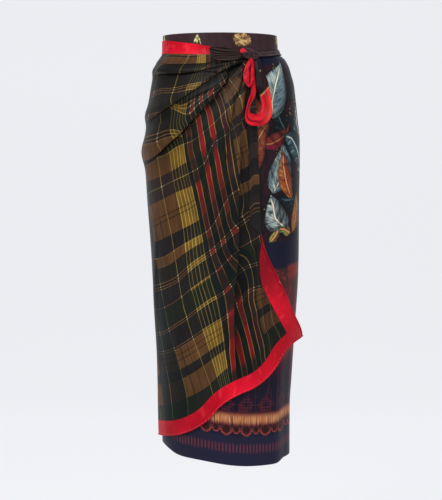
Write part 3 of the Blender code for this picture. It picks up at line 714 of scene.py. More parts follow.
def scarf_places():
    """Angles and heights of the wrap panel's grid, whose rows run along its creases."""
    front = crowded(FRONT_COLUMNS)
    back = crowded_start(BACK_COLUMNS)
    runs = []
    for way in [TOP_EDGE] + [crease.way for crease in FAN]:
        split = share_at(way, PLEAT_COLUMN[0][0])
        runs.append(along(way, np.concatenate([split * front, blend(split, 1, back[1:])])))
    rows = [runs[0][None]]
    for upper, lower, count in zip(runs[:-1], runs[1:], FAN_ROWS):
        t = crowded(count)[1:, None, None]
        rows.append((1 - t) * upper + t * lower)
    t = crowded_start(FALL_ROWS)
    split = share_at(HEM_EDGE, PLEAT_COLUMN[-1][0])
    pleat = along(PLEAT_COLUMN[:-1] + [tuple(along(HEM_EDGE, split))], t)
    last = runs[-1]
    right = fill(last[:FRONT_COLUMNS], along(HEM_EDGE, split * front), along(FRONT_EDGE, t), pleat,
                 front, t)
    left = fill(last[FRONT_COLUMNS - 1:], along(HEM_EDGE, blend(split, 1, back)), pleat,
                along(SEAM, t), back, t)
    rows.append(np.concatenate([right, left[:, 1:]], axis=1)[1:])
    places = np.concatenate(rows)
    return places[..., 0], places[..., 1]


def turn_under(points, facing, maps, radius, width):
    """Adds columns before the first: the cloth bent back under its edge, along its own back."""
    outward = points[:, 0] - points[:, 1]
    face = facing[:, 0]
    outward -= face * np.sum(outward * face, axis=-1, keepdims=True)
    outward /= np.linalg.norm(outward, axis=-1, keepdims=True)
    reach = np.linalg.norm(points - points[:, :1], axis=-1)
    row = np.arange(len(points))
    added = []
    for share in TURN_SHARES:
        nearest = np.argmin(np.abs(reach - width * share), axis=1)
        added.append(points[row, nearest] - facing[row, nearest] * 2 * radius)
    for bend in np.radians(TURN_BENDS):
        added.append(points[:, 0] + outward * radius * np.sin(bend)
                     - face * radius * (1 - np.cos(bend)))

    def widened(values, first):
        return np.concatenate([first, values], axis=1)

    def repeated(values):
        return widened(values, np.repeat(values[:, :1], len(added), axis=1))

    maps = {label: repeated(values) for label, values in maps.items()}
    return widened(points, np.stack(added, axis=1)), repeated(facing), maps


def turn_under_low(points, facing, maps, radius, width):
    """As turn_under, for the last row."""
    def swap(values):
        return values[::-1].transpose(1, 0, 2)

    def back(values):
        return values.transpose(1, 0, 2)[::-1]

    swapped = {label: swap(values) for label, values in maps.items()}
    points, facing, swapped = turn_under(swap(points), swap(facing), swapped, radius, width)
    return back(points), back(facing), {label: back(values) for label, values in swapped.items()}


def wrinkles(angle, z):
    """Small pulls that run into the knot and the cloth's own unevenness."""
    across = round_body(angle) - round_body(KNOT_AT[0])
    down = z - KNOT_AT[1]
    reach = np.hypot(across, down)
    bearing = np.arctan2(down, across)
    pulls = PULL_HEIGHT * ease(*PULLS_GROW, reach) * np.exp(-reach / PULL_REACH)
    pulls = pulls * np.cos(19 * bearing + 1.3 * np.sin(5 * bearing) + 8 * reach)
    drape = DRAPE_HEIGHT * np.sin(21 * across + 9 * z + 1.1 * np.sin(13 * z))
    drape = drape * ease(*DRAPE_GROWS, reach)
    low_drape = LOW_DRAPE_HEIGHT * np.sin(38 * across - 16 * z + 2.0)
    drape += low_drape * ease(*LOW_DRAPE_GROWS, z)
    free = ease(0, SEAM_FADE, angle - SEAM_ANGLE) * ease(*WRINKLES_GROW, z)
    return (pulls + drape) * free


def make_scarf(material):
    """The wrap panel, with its edges turned under."""
    angle, z = scarf_places()
    # depth is the painted shade that darkens the cloth's colour below its creases.
    at_angle, at_z, out, hidden, depth = folded(angle, z)
    points = on_body(at_angle, at_z, out + wrinkles(angle, z))
    maps = scarf_maps(angle, z, hidden, depth)
    down = z[:, 0][:, None]
    free = ease(TURN_ENDS, TURN_FROM, down)
    width = blend(HEM_TURN, FRONT_TURN, free)
    width = np.minimum(width, NARROW_TURN + width * ease(*TURN_WIDENS, down))
    points, facing, maps = turn_under(points, normals(points), maps,
                                      blend(ROLL, FRONT_ROLL, free), width)
    points, facing, maps = turn_under_low(points, facing, maps, ROLL, HEM_TURN)
    piece = shell("scarf_panel", points, CLOTH, maps, material)
    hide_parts("wrap_panel")
    return piece


def make_skirt(material):
    """The under-skirt, with its narrow hem turned up inside."""
    angle = np.linspace(-180, 180, SKIRT_COLUMNS + 1)[None, :]
    top = smooth(BAND_FOOT, "angle", "z", angle) - BELOW_FOOT
    hem = smooth(HEM, "angle", "z", angle)
    z = blend(top, hem, np.linspace(0, 1, SKIRT_ROWS)[:, None] ** SKIRT_CROWDING)
    points = on_body(angle, z, 0.0)[:, :-1]
    cloth = pair(round_body(angle), z - hem)
    points, _, maps = turn_under_low(points, normals(points, ring=True), {"cloth": cloth[:, :-1]},
                                     ROLL, SKIRT_TURN)
    last = maps["cloth"][:, :1].copy()
    last[..., 0] = round_body(180.0)
    maps["cloth"] = np.concatenate([maps["cloth"], last], axis=1)
    piece = shell("under_skirt", points, CLOTH, maps, material, ring=True)
    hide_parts("skirt_body")
    return piece


def make_band(material):
    """The waistband, a doubled strip with rounded edges."""
    angle = np.linspace(-180, 180, BAND_COLUMNS + 1)[None, :]
    turn = np.linspace(0, 2 * np.pi, BAND_ROUND, endpoint=False)[:, None]
    up, side = (np.sign(part) * np.abs(part) ** BAND_SQUARE
                for part in (np.cos(turn), np.sin(turn)))
    foot = smooth(BAND_FOOT, "angle", "z", angle)
    heights = (BAND_TOP + foot) / 2 + (BAND_TOP - foot) / 2 * up
    pucker = PUCKER * np.sin(np.radians(angle) * 31 + 2 * np.sin(np.radians(angle) * 7))
    soft = pucker * ease(0.75, 0.2, np.abs(up)) + PUCKER * np.cos(np.radians(angle) * 5)
    grid = on_body(angle, heights, BAND_OUT - BAND_CLOTH / 2 * side + soft)[:, :-1]
    row, place = cells(BAND_ROUND, BAND_COLUMNS)
    row = row % BAND_ROUND
    cloth = pair(round_body(angle), heights - foot)
    piece = mesh_piece("waist_strip", grid, row * BAND_COLUMNS + place % BAND_COLUMNS,
                       {"cloth": cloth[row, place]}, material)
    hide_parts("waistband")
    return piece


def make_gather(material):
    """The tie's gathered end, pleated into the knot."""
    s = np.linspace(0, 1, GATHER_COLUMNS)[None, :]
    t = np.linspace(0, 1, GATHER_ROWS)[:, None]
    angle_top, z_top, angle_low, z_low, swell = (
        smooth(GATHER, "step", part, s) for part in Span._fields[1:])
    angle = blend(angle_top, angle_low, t)
    z = blend(z_top, z_low, t)
    turns = GATHER_PLEATS * t ** 1.2 - 0.9 * np.sin(np.pi * s) * (1 - t)
    wave = np.cos(2 * np.pi * (turns + 0.16 * np.sin(9 * t + 3 * s)))
    pleats = PLEAT_HEIGHT * (np.abs(wave) ** 0.7 * np.sign(wave)) * ease(0, 0.2, s)
    pleats = pleats * (1 - 0.4 * s) * (0.75 + 0.35 * np.sin(5 * t + 1))
    out = folded(angle, z)[2] + GATHER_OVER + swell * np.sin(np.pi * t) + pleats
    # Painted shade between the pleats, passed to the colour in the fold map.
    painted_pleat_shade = (1 - wave) / 2 * ease(0, 0.15, s)
    maps = {"cloth": pair(round_body(angle), z), "fold": pair(painted_pleat_shade, z)}
    piece = shell("gathered_end", on_body(angle, z, out), GATHER_CLOTH, maps, material)
    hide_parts("tie_gather")
    return piece


def make_knot(material):
    """The knot: packed cloth, grooved where it wraps round itself."""
    turn = np.linspace(0, 2 * np.pi, KNOT_AROUND + 1)[None, :]
    lengthwise = np.linspace(0, 1, KNOT_ROWS)[:, None]
    steps = np.linspace(0, 1, len(KNOT))
    angle, z, half_height, half_depth = (
        curve(steps, column(KNOT, part), lengthwise) for part in Bead._fields)
    wind = np.cos(3 * (turn + 2.2 * lengthwise)) + 0.5 * np.cos(5 * turn - 4 * lengthwise + 1)
    groove = 1 + KNOT_GROOVE * wind * ease(0, 0.12, lengthwise) * ease(1, 0.88, lengthwise)
    rings = on_body(angle, z + half_height * np.sin(turn) * groove,
                    KNOT_OUT + half_depth * np.cos(turn) * groove)[:, :-1]
    place, row = cells(KNOT_AROUND, KNOT_ROWS - 1)      # these rings turn the other way round
    cloth = pair(turn / (2 * np.pi), lengthwise)
    piece = mesh_piece("packed_knot", rings, row * KNOT_AROUND + place % KNOT_AROUND,
                       {"cloth": cloth[row, place]}, material)
    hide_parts("knot")
    return piece


def make_tie(material):
    """The flat tie along the waistband's lower edge."""
    angle = np.linspace(TIE_LINE[0].angle, TIE_LINE[-1].angle, TIE_COLUMNS)[None, :]
    line = smooth(TIE_LINE, "angle", "z", angle)
    t = np.linspace(-1, 1, TIE_ROWS)[:, None]
    z = line - TIE_HALF * t + TIE_WAVE * np.sin(angle / 9.0)
    lifted = TIE_ARCH * (1 - t ** 2) + TIE_LIFT * ease(*TIE_RISES, angle)
    lifted = lifted + TIE_FOLD * np.cos(2 * np.pi * (t + 0.1)) * (1 + 0.4 * np.sin(angle / 6.0))
    maps = {"cloth": pair(round_body(angle), line - z)}
    piece = shell("waist_tie", on_body(turned(angle, 0), z, TIE_OUT + lifted), TIE_CLOTH, maps,
                  material)
    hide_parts("tie_band")
    return piece


def ribbon(name, ribs, bow, folds, material, node):
    """A curved ribbon between two edges; `folds` are (place, width, depth) across it."""
    number = np.arange(len(ribs))
    at = np.linspace(0, number[-1], ROWS_BETWEEN_RIBS * number[-1] + 1)
    edges = [curve(number, column(ribs, part), at)[:, None] for part in Rib._fields]
    across = np.linspace(0, 1, RIB_COLUMNS)[None, :]
    angle, z, out = (blend(*side, across) for side in zip(edges[:3], edges[3:]))
    lengthwise = (at / number[-1])[:, None]
    out = out + bow * np.sin(np.pi * across)
    for place, width, depth in folds:
        drift = place + 0.05 * np.sin(5 * lengthwise + 9 * place)
        out = out - depth * np.exp(-((across - drift) / width) ** 2) * np.sin(np.pi * lengthwise)
    piece = shell(name, on_body(angle, z, out), BOW_CLOTH, {"cloth": pair(across, lengthwise)},
                  material)
    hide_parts(node)
    return piece


# ---------------------------------------------------------------- shader nodes

def tone(red, green, blue):
    """A colour given as screen values from 0 to 255."""
    shares = (part / 255 for part in (red, green, blue))
    return tuple(share / 12.92 if share < 0.04045 else ((share + 0.055) / 1.055) ** 2.4
                 for share in shares)


SOFT_STEP = 0.0004      # metres on each side of a limit in which a step is soft
TWILL = 0.0011
TWILL_HEIGHT, SLUB_HEIGHT = 0.00002, 0.00003
SILK = {"Roughness": 0.45, "Sheen Weight": 0.02, "Sheen Roughness": 0.45,
        "Specular IOR Level": 0.10}
RELIEF = 0.6            # strength with which heights show


def feed(tree, socket, value):
    """Links a wire to a socket, or sets the socket's own value."""
    if isinstance(value, Wire):
        tree.links.new(value.socket, socket)
    else:
        socket.default_value = (*value, 1) if socket.type == "RGBA" else value


class Wire:
    """A shader node's output, with arithmetic that makes further nodes."""

    def __init__(self, tree, socket):
        self.tree = tree
        self.socket = socket

    def math(self, operation, *others):
        """A math node that works on this output first."""
        node = self.tree.nodes.new("ShaderNodeMath")
        node.operation = operation
        for place, value in enumerate((self, *others)):
            feed(self.tree, node.inputs[place], value)
        return Wire(self.tree, node.outputs[0])

    def __add__(self, other):
        return self.math("ADD", other)

    def __sub__(self, other):
        return self.math("SUBTRACT", other)

    def __mul__(self, other):
        return self.math("MULTIPLY", other)

    def __truediv__(self, other):
        return self.math("DIVIDE", other)

    def __rsub__(self, other):
        return self * -1 + other

    __radd__ = __add__
    __rmul__ = __mul__

    def size(self):
        """Its distance from 0."""
        return self.math("ABSOLUTE")

    def sine(self, wavelength):
        """Sine of a full turn for each wavelength, from -1 to 1."""
        return (self * (2 * math.pi / wavelength)).math("SINE")

    def every(self, period):
        """Distance from the nearest multiple of a period, with its sign."""
        return (self + period / 2).math("FLOORED_MODULO", period) - period / 2

    def above(self, limit, soft=SOFT_STEP):
        """0 below the limit and 1 above it, with a soft step."""
        node = self.tree.nodes.new("ShaderNodeMapRange")
        node.interpolation_type = "SMOOTHSTEP"
        feed(self.tree, node.inputs["Value"], self)
        feed(self.tree, node.inputs["From Min"], limit - soft)
        feed(self.tree, node.inputs["From Max"], limit + soft)
        return Wire(self.tree, node.outputs["Result"])

    def below(self, limit, soft=SOFT_STEP):
        """1 below the limit and 0 above it, with a soft step."""
        return 1 - self.above(limit, soft)

    def between(self, low, high, soft=SOFT_STEP):
        """1 between two limits and 0 outside them, with soft steps."""
        return self.above(low, soft) * self.below(high, soft)


class Recipe:
    """A node tree whose nodes are made by short calls."""

    def __init__(self, tree):
        self.tree = tree

    def wire(self, node, output=0):
        """One output of a node."""
        return Wire(self.tree, node.outputs[output])

    def feed(self, socket, value):
        """Links a wire to a socket of this tree, or sets the socket's own value."""
        feed(self.tree, socket, value)

    def map(self, label):
        """The two coordinates of a UV map."""
        node = self.tree.nodes.new("ShaderNodeUVMap")
        node.uv_map = label
        parts = self.tree.nodes.new("ShaderNodeSeparateXYZ")
        self.tree.links.new(node.outputs[0], parts.inputs[0])
        return self.wire(parts, 0), self.wire(parts, 1)

    def point(self, x, y, z=0.0):
        """A vector of three coordinates."""
        node = self.tree.nodes.new("ShaderNodeCombineXYZ")
        for place, value in enumerate((x, y, z)):
            self.feed(node.inputs[place], value)
        return self.wire(node)

    def noise(self, at, scale, detail=2.0):
        """Smooth noise from 0 to 1 at a vector."""
        node = self.tree.nodes.new("ShaderNodeTexNoise")
        self.feed(node.inputs["Vector"], at)
        node.inputs["Scale"].default_value = scale
        node.inputs["Detail"].default_value = detail
        return self.wire(node)

    def mix(self, share, first, second, blend_type="MIX"):
        """The first colour at share 0 and the second at share 1."""
        node = self.tree.nodes.new("ShaderNodeMix")
        node.data_type = "RGBA"
        node.blend_type = blend_type
        self.feed(node.inputs[0], share)
        self.feed(node.inputs[6], first)
        self.feed(node.inputs[7], second)
        return self.wire(node, 2)

    def ramp(self, at, stops, constant=False):
        """Colour and alpha of a ramp with (place, colour, alpha) stops."""
        node = self.tree.nodes.new("ShaderNodeValToRGB")
        self.feed(node.inputs[0], at)
        ramp = node.color_ramp
        ramp.interpolation = "CONSTANT" if constant else "LINEAR"
        while len(ramp.elements) < len(stops):
            ramp.elements.new(1.0)
        for element, (place, colour, alpha) in zip(ramp.elements, stops):
            element.position = place
            element.color = (*colour, alpha)
        return self.wire(node, 0), self.wire(node, 1)

    def weave(self, u, v):
        """Height of a fine twill, in metres."""
        diagonal = (u + v).sine(TWILL)
        slubs = self.noise(self.point(u * 180, v * 1400), 1.0, 1.0)
        return diagonal * TWILL_HEIGHT + slubs * SLUB_HEIGHT


class Fabric(Recipe):
    """The recipe of a material."""

    def __init__(self, name):
        self.material = bpy.data.materials.new(name)
        self.material.use_nodes = True
        super().__init__(self.material.node_tree)
        self.shader = self.tree.nodes["Principled BSDF"]

    def finish(self, colour, height):
        """The material of silk with a colour and with heights in metres."""
        self.feed(self.shader.inputs["Base Color"], colour)
        for label, value in SILK.items():
            self.shader.inputs[label].default_value = value
        bump = self.tree.nodes.new("ShaderNodeBump")
        bump.inputs["Distance"].default_value = 1.0
        bump.inputs["Strength"].default_value = RELIEF
        self.feed(bump.inputs["Height"], height)
        self.tree.links.new(bump.outputs[0], self.shader.inputs["Normal"])
        return self.material


# ---------------------------------------------------------------- the plaid

DYES = {
    "ground": tone(24, 28, 26), "navy": tone(22, 26, 31), "dark": tone(12, 14, 14),
    "green": tone(18, 32, 26), "brown": tone(96, 64, 36), "ochre": tone(66, 54, 28),
    "tan": tone(150, 108, 64), "olive": tone(122, 132, 70), "yellow": tone(184, 160, 78),
    "cream": tone(200, 146, 70), "red": tone(140, 12, 24), "maroon": tone(58, 20, 28),
    "dusk": tone(41, 34, 35), "gilt": tone(142, 104, 34), "bright_gilt": tone(204, 184, 92),
    "amber": tone(206, 172, 84), "ivory": tone(246, 234, 202), "crimson": tone(176, 1, 26),
    "painted_sheen_red": tone(226, 13, 44), "coral": tone(240, 60, 66), "painted_shade_red": tone(84, 4, 16),
    "garnet": tone(60, 8, 14), "pink": tone(240, 120, 120),
}
SHADE = (0.34, 0.34, 0.38)      # what light is left in the tartan's dull patches
PAINTED_CREASE_SHADE = (0.05, 0.05, 0.06)     # painted shade: what light is left deep in a crease

# Bands of yarn: dye, width in millimetres, and the band's part in the pattern.
Band = namedtuple("Band", "dye width part", defaults=(0.0,))
BLOCK, GAP, GROUP_LINE, LINE, STRIPE = 0.15, 0.30, 0.50, 0.75, 1.0
# Limits between which the shader knows each part.
IS_BLOCK, IS_GROUP, IS_GROUP_LINE, IS_LINE = (0.08, 0.22), (0.2, 0.6), (0.4, 0.6), (0.65, 0.85)
FROM_GROUP_LINE, FROM_STRIPE = 0.4, 0.9
PART_STEP = 0.02
GROUP_THREAD = 1.2
STRIPE_EDGE, STRIPE_MIDDLE = 1.6, 9.8


def thread(dye, width):
    """A line that stands alone."""
    return Band(dye, width, LINE)


def block(width):
    """A broad brown band."""
    return Band("brown", width, BLOCK)


def line_group(dye, gap_dye, gap, count):
    """Thin lines with gaps between them."""
    bands = [Band(dye, GROUP_THREAD, GROUP_LINE)]
    for _ in range(count - 1):
        bands += [Band(gap_dye, gap, GAP), Band(dye, GROUP_THREAD, GROUP_LINE)]
    return bands


def stripe(dye):
    """A wide stripe with a cream line on both sides."""
    side = thread("cream", STRIPE_EDGE)
    return [side, Band(dye, STRIPE_MIDDLE, STRIPE), side]


TRIPLE = line_group("tan", "ground", 4.6, 3)
PAIR = line_group("tan", "ground", 4.0, 2)
SINGLE = Band("tan", GROUP_THREAD, GROUP_LINE)
WARP = [
    Band("dusk", 5), block(20), thread("yellow", 1.3), block(10), Band("dark", 1.2), block(11),
    thread("yellow", 1.3), block(6), Band("green", 5.4), *stripe("maroon"), Band("green", 14.8),
    *stripe("red"), Band("green", 14.5), *stripe("red"), Band("green", 14.5), *stripe("red"),
    Band("ground", 9.5), *line_group("yellow", "ochre", 4.9, 6), block(20.6),
    thread("yellow", 1.4), block(16), Band("dusk", 1.4), block(16), Band("dusk", 1.4), block(14),
    thread("olive", 1.2), Band("ground", 38), thread("olive", 1.2), Band("navy", 30),
]
WEFT = [
    Band("ground", 31), Band("green", 15), thread("olive", 1.3), Band("green", 13), block(40),
    Band("dark", 1.5), Band("navy", 18), block(18), Band("dark", 1.6), block(11),
    Band("dark", 1.6), block(13), *PAIR, Band("navy", 44), *PAIR, Band("green", 44), *PAIR,
    Band("navy", 42), *TRIPLE, Band("ground", 28), SINGLE, block(15.5), SINGLE,
    Band("navy", 31), block(32), Band("dark", 1.6), block(9), Band("dark", 1.6), block(35.5),
    Band("dusk", 28), thread("olive", 1.4), Band("dusk", 23), block(41), thread("yellow", 1.4),
    Band("ground", 18), block(40), *TRIPLE, Band("ground", 44), *TRIPLE, Band("ground", 50),
    *TRIPLE, Band("ground", 46), *PAIR, Band("ground", 18), block(30), *PAIR, block(50),
    Band("ground", 60),
]
MILLIMETRE = 0.001
WARP_REPEAT = sum(band.width for band in WARP) * MILLIMETRE
STRIPE_PITCH = 0.0275
RED_FROM = 0.0955       # metres of yarn from the border to the first red stripe's middle
# How strongly the red warp shows along the cloth: metres up from the hem, share.
RED_SHOWS = [
    (0.040, 0.10), (0.052, 0.85), (0.112, 0.85), (0.126, 0.10), (0.148, 0.55), (0.172, 0.55),
    (0.186, 0.08), (0.366, 0.08), (0.385, 0.26), (0.430, 0.30), (0.452, 0.72), (0.500, 0.80),
    (0.512, 0.20), (0.524, 0.80), (0.640, 0.90), (0.656, 0.08),
]
NEAR_RED = (BORDER + 0.070, BORDER + 0.160)
PINCH_LEVEL = 0.512     # where the red stripes narrow to a point
LAST_STRIPE = (0.172, 0.480)    # the stripe past this yarn shows below this level alone
NEAR_CORNER = (0.085, 0.26)     # the tartan is duller up to here from the free corner
TURNED_HEIGHTS, TURNED_YARN = (-0.52, -0.30), 0.27      # where the border turns from the light
HEM_STITCH, HEM_PITCH = (0.0014, 0.0026), 0.0045
MOST_STOPS = 31


def yarns(fabric, at, bands):
    """Colour and part of the band of yarn that lies at a place, in metres along `bands`."""
    edges = np.concatenate([[0.0], np.cumsum([band.width for band in bands])]) * MILLIMETRE
    colour, group = None, None
    for first in range(0, len(bands), MOST_STOPS):
        part = bands[first:first + MOST_STOPS]
        start, end = edges[first], edges[first + len(part)]
        stops = [((edge - start) / (end - start), DYES[band.dye], band.part)
                 for band, edge in zip(part, edges[first:])]
        here = fabric.ramp((at - start) / (end - start), stops, constant=True)
        if colour is None:
            colour, group = here
        else:
            past = at.above(start, 0.00001)
            colour = fabric.mix(past, colour, here[0])
            group = group * (1 - past) + here[1] * past
    return colour, group


def red_share(fabric, u, v):
    """How much of the red stripes shows: in lens-shaped lengths, with a pinch between two."""
    grey = [(place, (share,) * 3, 1.0) for place, share in RED_SHOWS]
    shows = fabric.ramp(v, grey)[0]
    off = (u - BORDER - RED_FROM).every(STRIPE_PITCH).size()
    wide = (v - PINCH_LEVEL).size() * 0.22 + 0.0004
    last_from, last_top = LAST_STRIPE
    hidden_top = u.above(last_from, 0.002) * v.above(last_top, 0.006)
    return shows * (wide - off).above(0.0, 0.0008) * (1 - hidden_top)


def tartan(fabric, u, v):
    """The crossing of warp and weft, worn and shaded in patches."""
    warp, warp_part = yarns(fabric, (u - BORDER).math("FLOORED_MODULO", WARP_REPEAT), WARP)
    weft, weft_part = yarns(fabric, v, WEFT)
    in_red = warp_part.above(FROM_STRIPE, PART_STEP)
    line = warp_part.between(*IS_LINE, PART_STEP)
    in_group = warp_part.between(*IS_GROUP, PART_STEP)
    group_line = warp_part.between(*IS_GROUP_LINE, PART_STEP)
    weft_line = weft_part.above(FROM_GROUP_LINE, PART_STEP)
    weft_group = weft_part.between(*IS_GROUP, PART_STEP)
    weft_block = weft_part.between(*IS_BLOCK, PART_STEP)
    worn = fabric.noise(fabric.point(u * 2, v), 16.0, 2.0)
    reds = red_share(fabric, u, v)
    lit = (reds + weft_group * 0.5).math("MINIMUM", 0.9)
    warp = fabric.mix(in_red * (1 - lit) * 0.8, warp, DYES["green"])

    colour = fabric.mix((u + v).sine(0.0013) * 0.10 + 0.5, warp, weft)
    colour = fabric.mix(0.85, colour, fabric.mix(1.0, warp, weft, "DARKEN"))
    colour = fabric.mix(in_red * (lit + 0.06), colour, warp)
    thin = worn.above(0.44, 0.14) * 0.32 + 0.10
    near_red = u.between(*NEAR_RED, 0.002)
    colour = fabric.mix(line * (thin + near_red * (reds * 0.6 - 0.20)), colour, warp)
    colour = fabric.mix(weft_line * (worn.above(0.45, 0.14) * 0.22 + 0.14), colour, weft)
    gilt = in_group * weft_block.math("MAXIMUM", weft_group * 0.6)
    colour = fabric.mix(in_group * 0.08 + group_line * 0.14, colour, warp)
    colour = fabric.mix(gilt * (worn.above(0.42, 0.2) * 0.45 + 0.40), colour, DYES["gilt"])
    colour = fabric.mix(gilt * group_line * 0.6, colour, DYES["bright_gilt"])
    colour = fabric.mix(in_group * weft_line * 0.35, colour, DYES["amber"])
    colour = fabric.mix(line * weft_line * 0.9, colour, DYES["ivory"])
    slub = fabric.noise(fabric.point(u * 260, v * 18), 1.0, 2.0)
    shade = fabric.mix(1.0, colour, SHADE, "MULTIPLY")
    near_corner = u.below(NEAR_CORNER[0], 0.010) * v.below(NEAR_CORNER[1], 0.01)
    dimmed = slub.above(0.50, 0.16) * 0.5 + near_red * 0.32 + near_corner * 0.45
    colour = fabric.mix(dimmed * (1 - in_red), colour, shade)
    patchy = fabric.noise(fabric.point(u, v), 11.0, 3.0)
    return fabric.mix(patchy.above(0.5, 0.2) * 0.5, colour, shade)


def border_red(fabric, u, v, height_up):
    """The border's red with patches of painted sheen, and painted shade where it is turned from the
    light.
    """
    # Painted sheen: lighter patches of red scattered over the border.
    painted_sheen = fabric.noise(fabric.point(u, v), 9.0, 2.0).above(0.5, 0.18)
    dye = fabric.mix(painted_sheen, DYES["crimson"], DYES["painted_sheen_red"])
    specks = fabric.noise(fabric.point(u, v), 45.0).above(0.62, 0.06)
    dye = fabric.mix(specks * 0.35, dye, DYES["coral"])
    # Painted shade where the border falls and turns away from the light.
    falling = height_up.between(*TURNED_HEIGHTS, 0.04) * 0.6
    turned_away = falling.math("MAXIMUM", u.above(TURNED_YARN, 0.06) * 0.35)
    return fabric.mix(turned_away * height_up.below(-0.1, 0.02), dye, DYES["painted_shade_red"])


def make_plaid():
    """The scarf's tartan, with its red border, hand-rolled hem and painted shade below its creases.
    """
    fabric = Fabric("plaid_silk")
    u, v = fabric.map("cloth")
    free, strip = fabric.map("edge")
    # The fold map holds the painted shade of the creases and the height.
    depth, height_up = fabric.map("fold")
    colour = tartan(fabric, u, v)
    border = free.below(BORDER, 0.0003).math("MAXIMUM", strip.above(0.0))
    colour = fabric.mix(border, colour, border_red(fabric, u, v, height_up))
    rim = (free - BORDER).size().below(0.0006, 0.0003) * strip.below(0.0, 0.001)
    colour = fabric.mix(rim * 0.6, colour, DYES["garnet"])
    stitch = free.between(*HEM_STITCH, 0.0003) * (u + v).every(HEM_PITCH).size().below(0.0008)
    colour = fabric.mix(stitch * 0.55, colour, DYES["pink"])
    # Painted shade: the colour darkens below the creases, where shade falls.
    colour = fabric.mix(depth * 0.92, colour, fabric.mix(1.0, colour, PAINTED_CREASE_SHADE, "MULTIPLY"))
    height = fabric.weave(u, v) - stitch * 0.00015
    return fabric.finish(colour, height)


# ---------------------------------------------------------------- the printed under-skirt

INK = {
    "navy": tone(24, 26, 56), "night": tone(14, 14, 20), "wine": tone(42, 18, 28),
    "rust": tone(122, 44, 36), "cream": tone(208, 144, 94), "gold": tone(164, 98, 44),
    "ice": tone(178, 194, 190), "sea": tone(60, 90, 100), "teal": tone(20, 36, 42),
    "chalk": tone(240, 228, 204), "moss": tone(64, 42, 34), "plum": tone(106, 18, 40),
    "olive": tone(150, 150, 70), "slate": tone(54, 50, 72), "russet": tone(120, 48, 42),
    "brick": tone(178, 72, 56), "mauve": tone(112, 50, 58), "straw": tone(196, 174, 96),
}
# Leaves of one repeat of the print, from the rearmost: centre, half length, half width, lean in
# degrees, how far the midrib curves, and the inks of the blade, its far side and its rib.
Leaf = namedtuple("Leaf", "across up length width lean curve blade far rib")
LEAVES = [
    Leaf(0.030, 0.800, 0.075, 0.034, -62, 0.014, "teal", "night", "sea"),
    Leaf(0.165, 0.700, 0.080, 0.036, 38, -0.014, "teal", "night", "sea"),
    Leaf(0.185, 0.530, 0.070, 0.030, 66, 0.012, "teal", "night", "sea"),
    Leaf(0.136, 0.782, 0.062, 0.038, -24, -0.014, "ice", "sea", "chalk"),
    Leaf(0.060, 0.735, 0.060, 0.023, 34, 0.014, "gold", "rust", "cream"),
    Leaf(0.010, 0.690, 0.064, 0.030, 14, -0.012, "sea", "teal", "chalk"),
    Leaf(0.118, 0.692, 0.046, 0.017, -66, 0.012, "rust", "plum", "gold"),
    Leaf(0.172, 0.655, 0.052, 0.026, 44, 0.012, "sea", "teal", "ice"),
    Leaf(0.122, 0.622, 0.054, 0.030, -14, 0.013, "ice", "sea", "chalk"),
    Leaf(0.152, 0.606, 0.056, 0.018, 16, -0.012, "gold", "rust", "cream"),
    Leaf(0.030, 0.580, 0.060, 0.028, 50, 0.012, "sea", "teal", "ice"),
    Leaf(0.080, 0.660, 0.058, 0.024, -18, -0.014, "gold", "rust", "cream"),
    Leaf(0.128, 0.528, 0.046, 0.030, 30, -0.013, "ice", "teal", "chalk"),
    Leaf(0.176, 0.520, 0.044, 0.017, -12, 0.010, "gold", "rust", "olive"),
    Leaf(0.142, 0.486, 0.020, 0.010, 62, 0.004, "olive", "moss", "cream"),
    Leaf(0.112, 0.482, 0.018, 0.009, -40, 0.003, "olive", "moss", "cream"),
]
LEAF_NUMBERS = ["u", "v", "wobble", "across", "up", "sine", "cosine", "length", "width", "curve"]
LEAF_INKS = ["ground", "blade", "far", "rib"]
PRINT_REPEAT = 0.204
# Levels of the print's zones and rows, in metres up from the hem.
LEAF_ZONE = (0.468, 0.840)
MOTTLED_ZONE = (0.112, 0.412)
MOSSY_LEVELS = ((0.352, 0.384), (0.190, 0.290))
RUSTY_LEVELS = ((0.384, 0.412), (0.205, 0.262))
MOTTLED_SPLIT = 0.215   # redder above, darker below
DIAMOND_LEVEL = 0.128
BAND_LEVEL = 0.0975
SLATE_BELOW = 0.062
DASH_LEVEL = 0.0355
HEM_LINE = (0.0062, 0.0070)
RING_PITCH = 0.0516
DASH_PITCH = 0.0089
STITCH_PITCH = 0.0030
Cup = namedtuple("Cup", "across up wide high")
CUPS = [Cup(0.0, 0.0745, 0.0150, 0.0122), Cup(RING_PITCH / 2, 0.0760, 0.0100, 0.0096)]


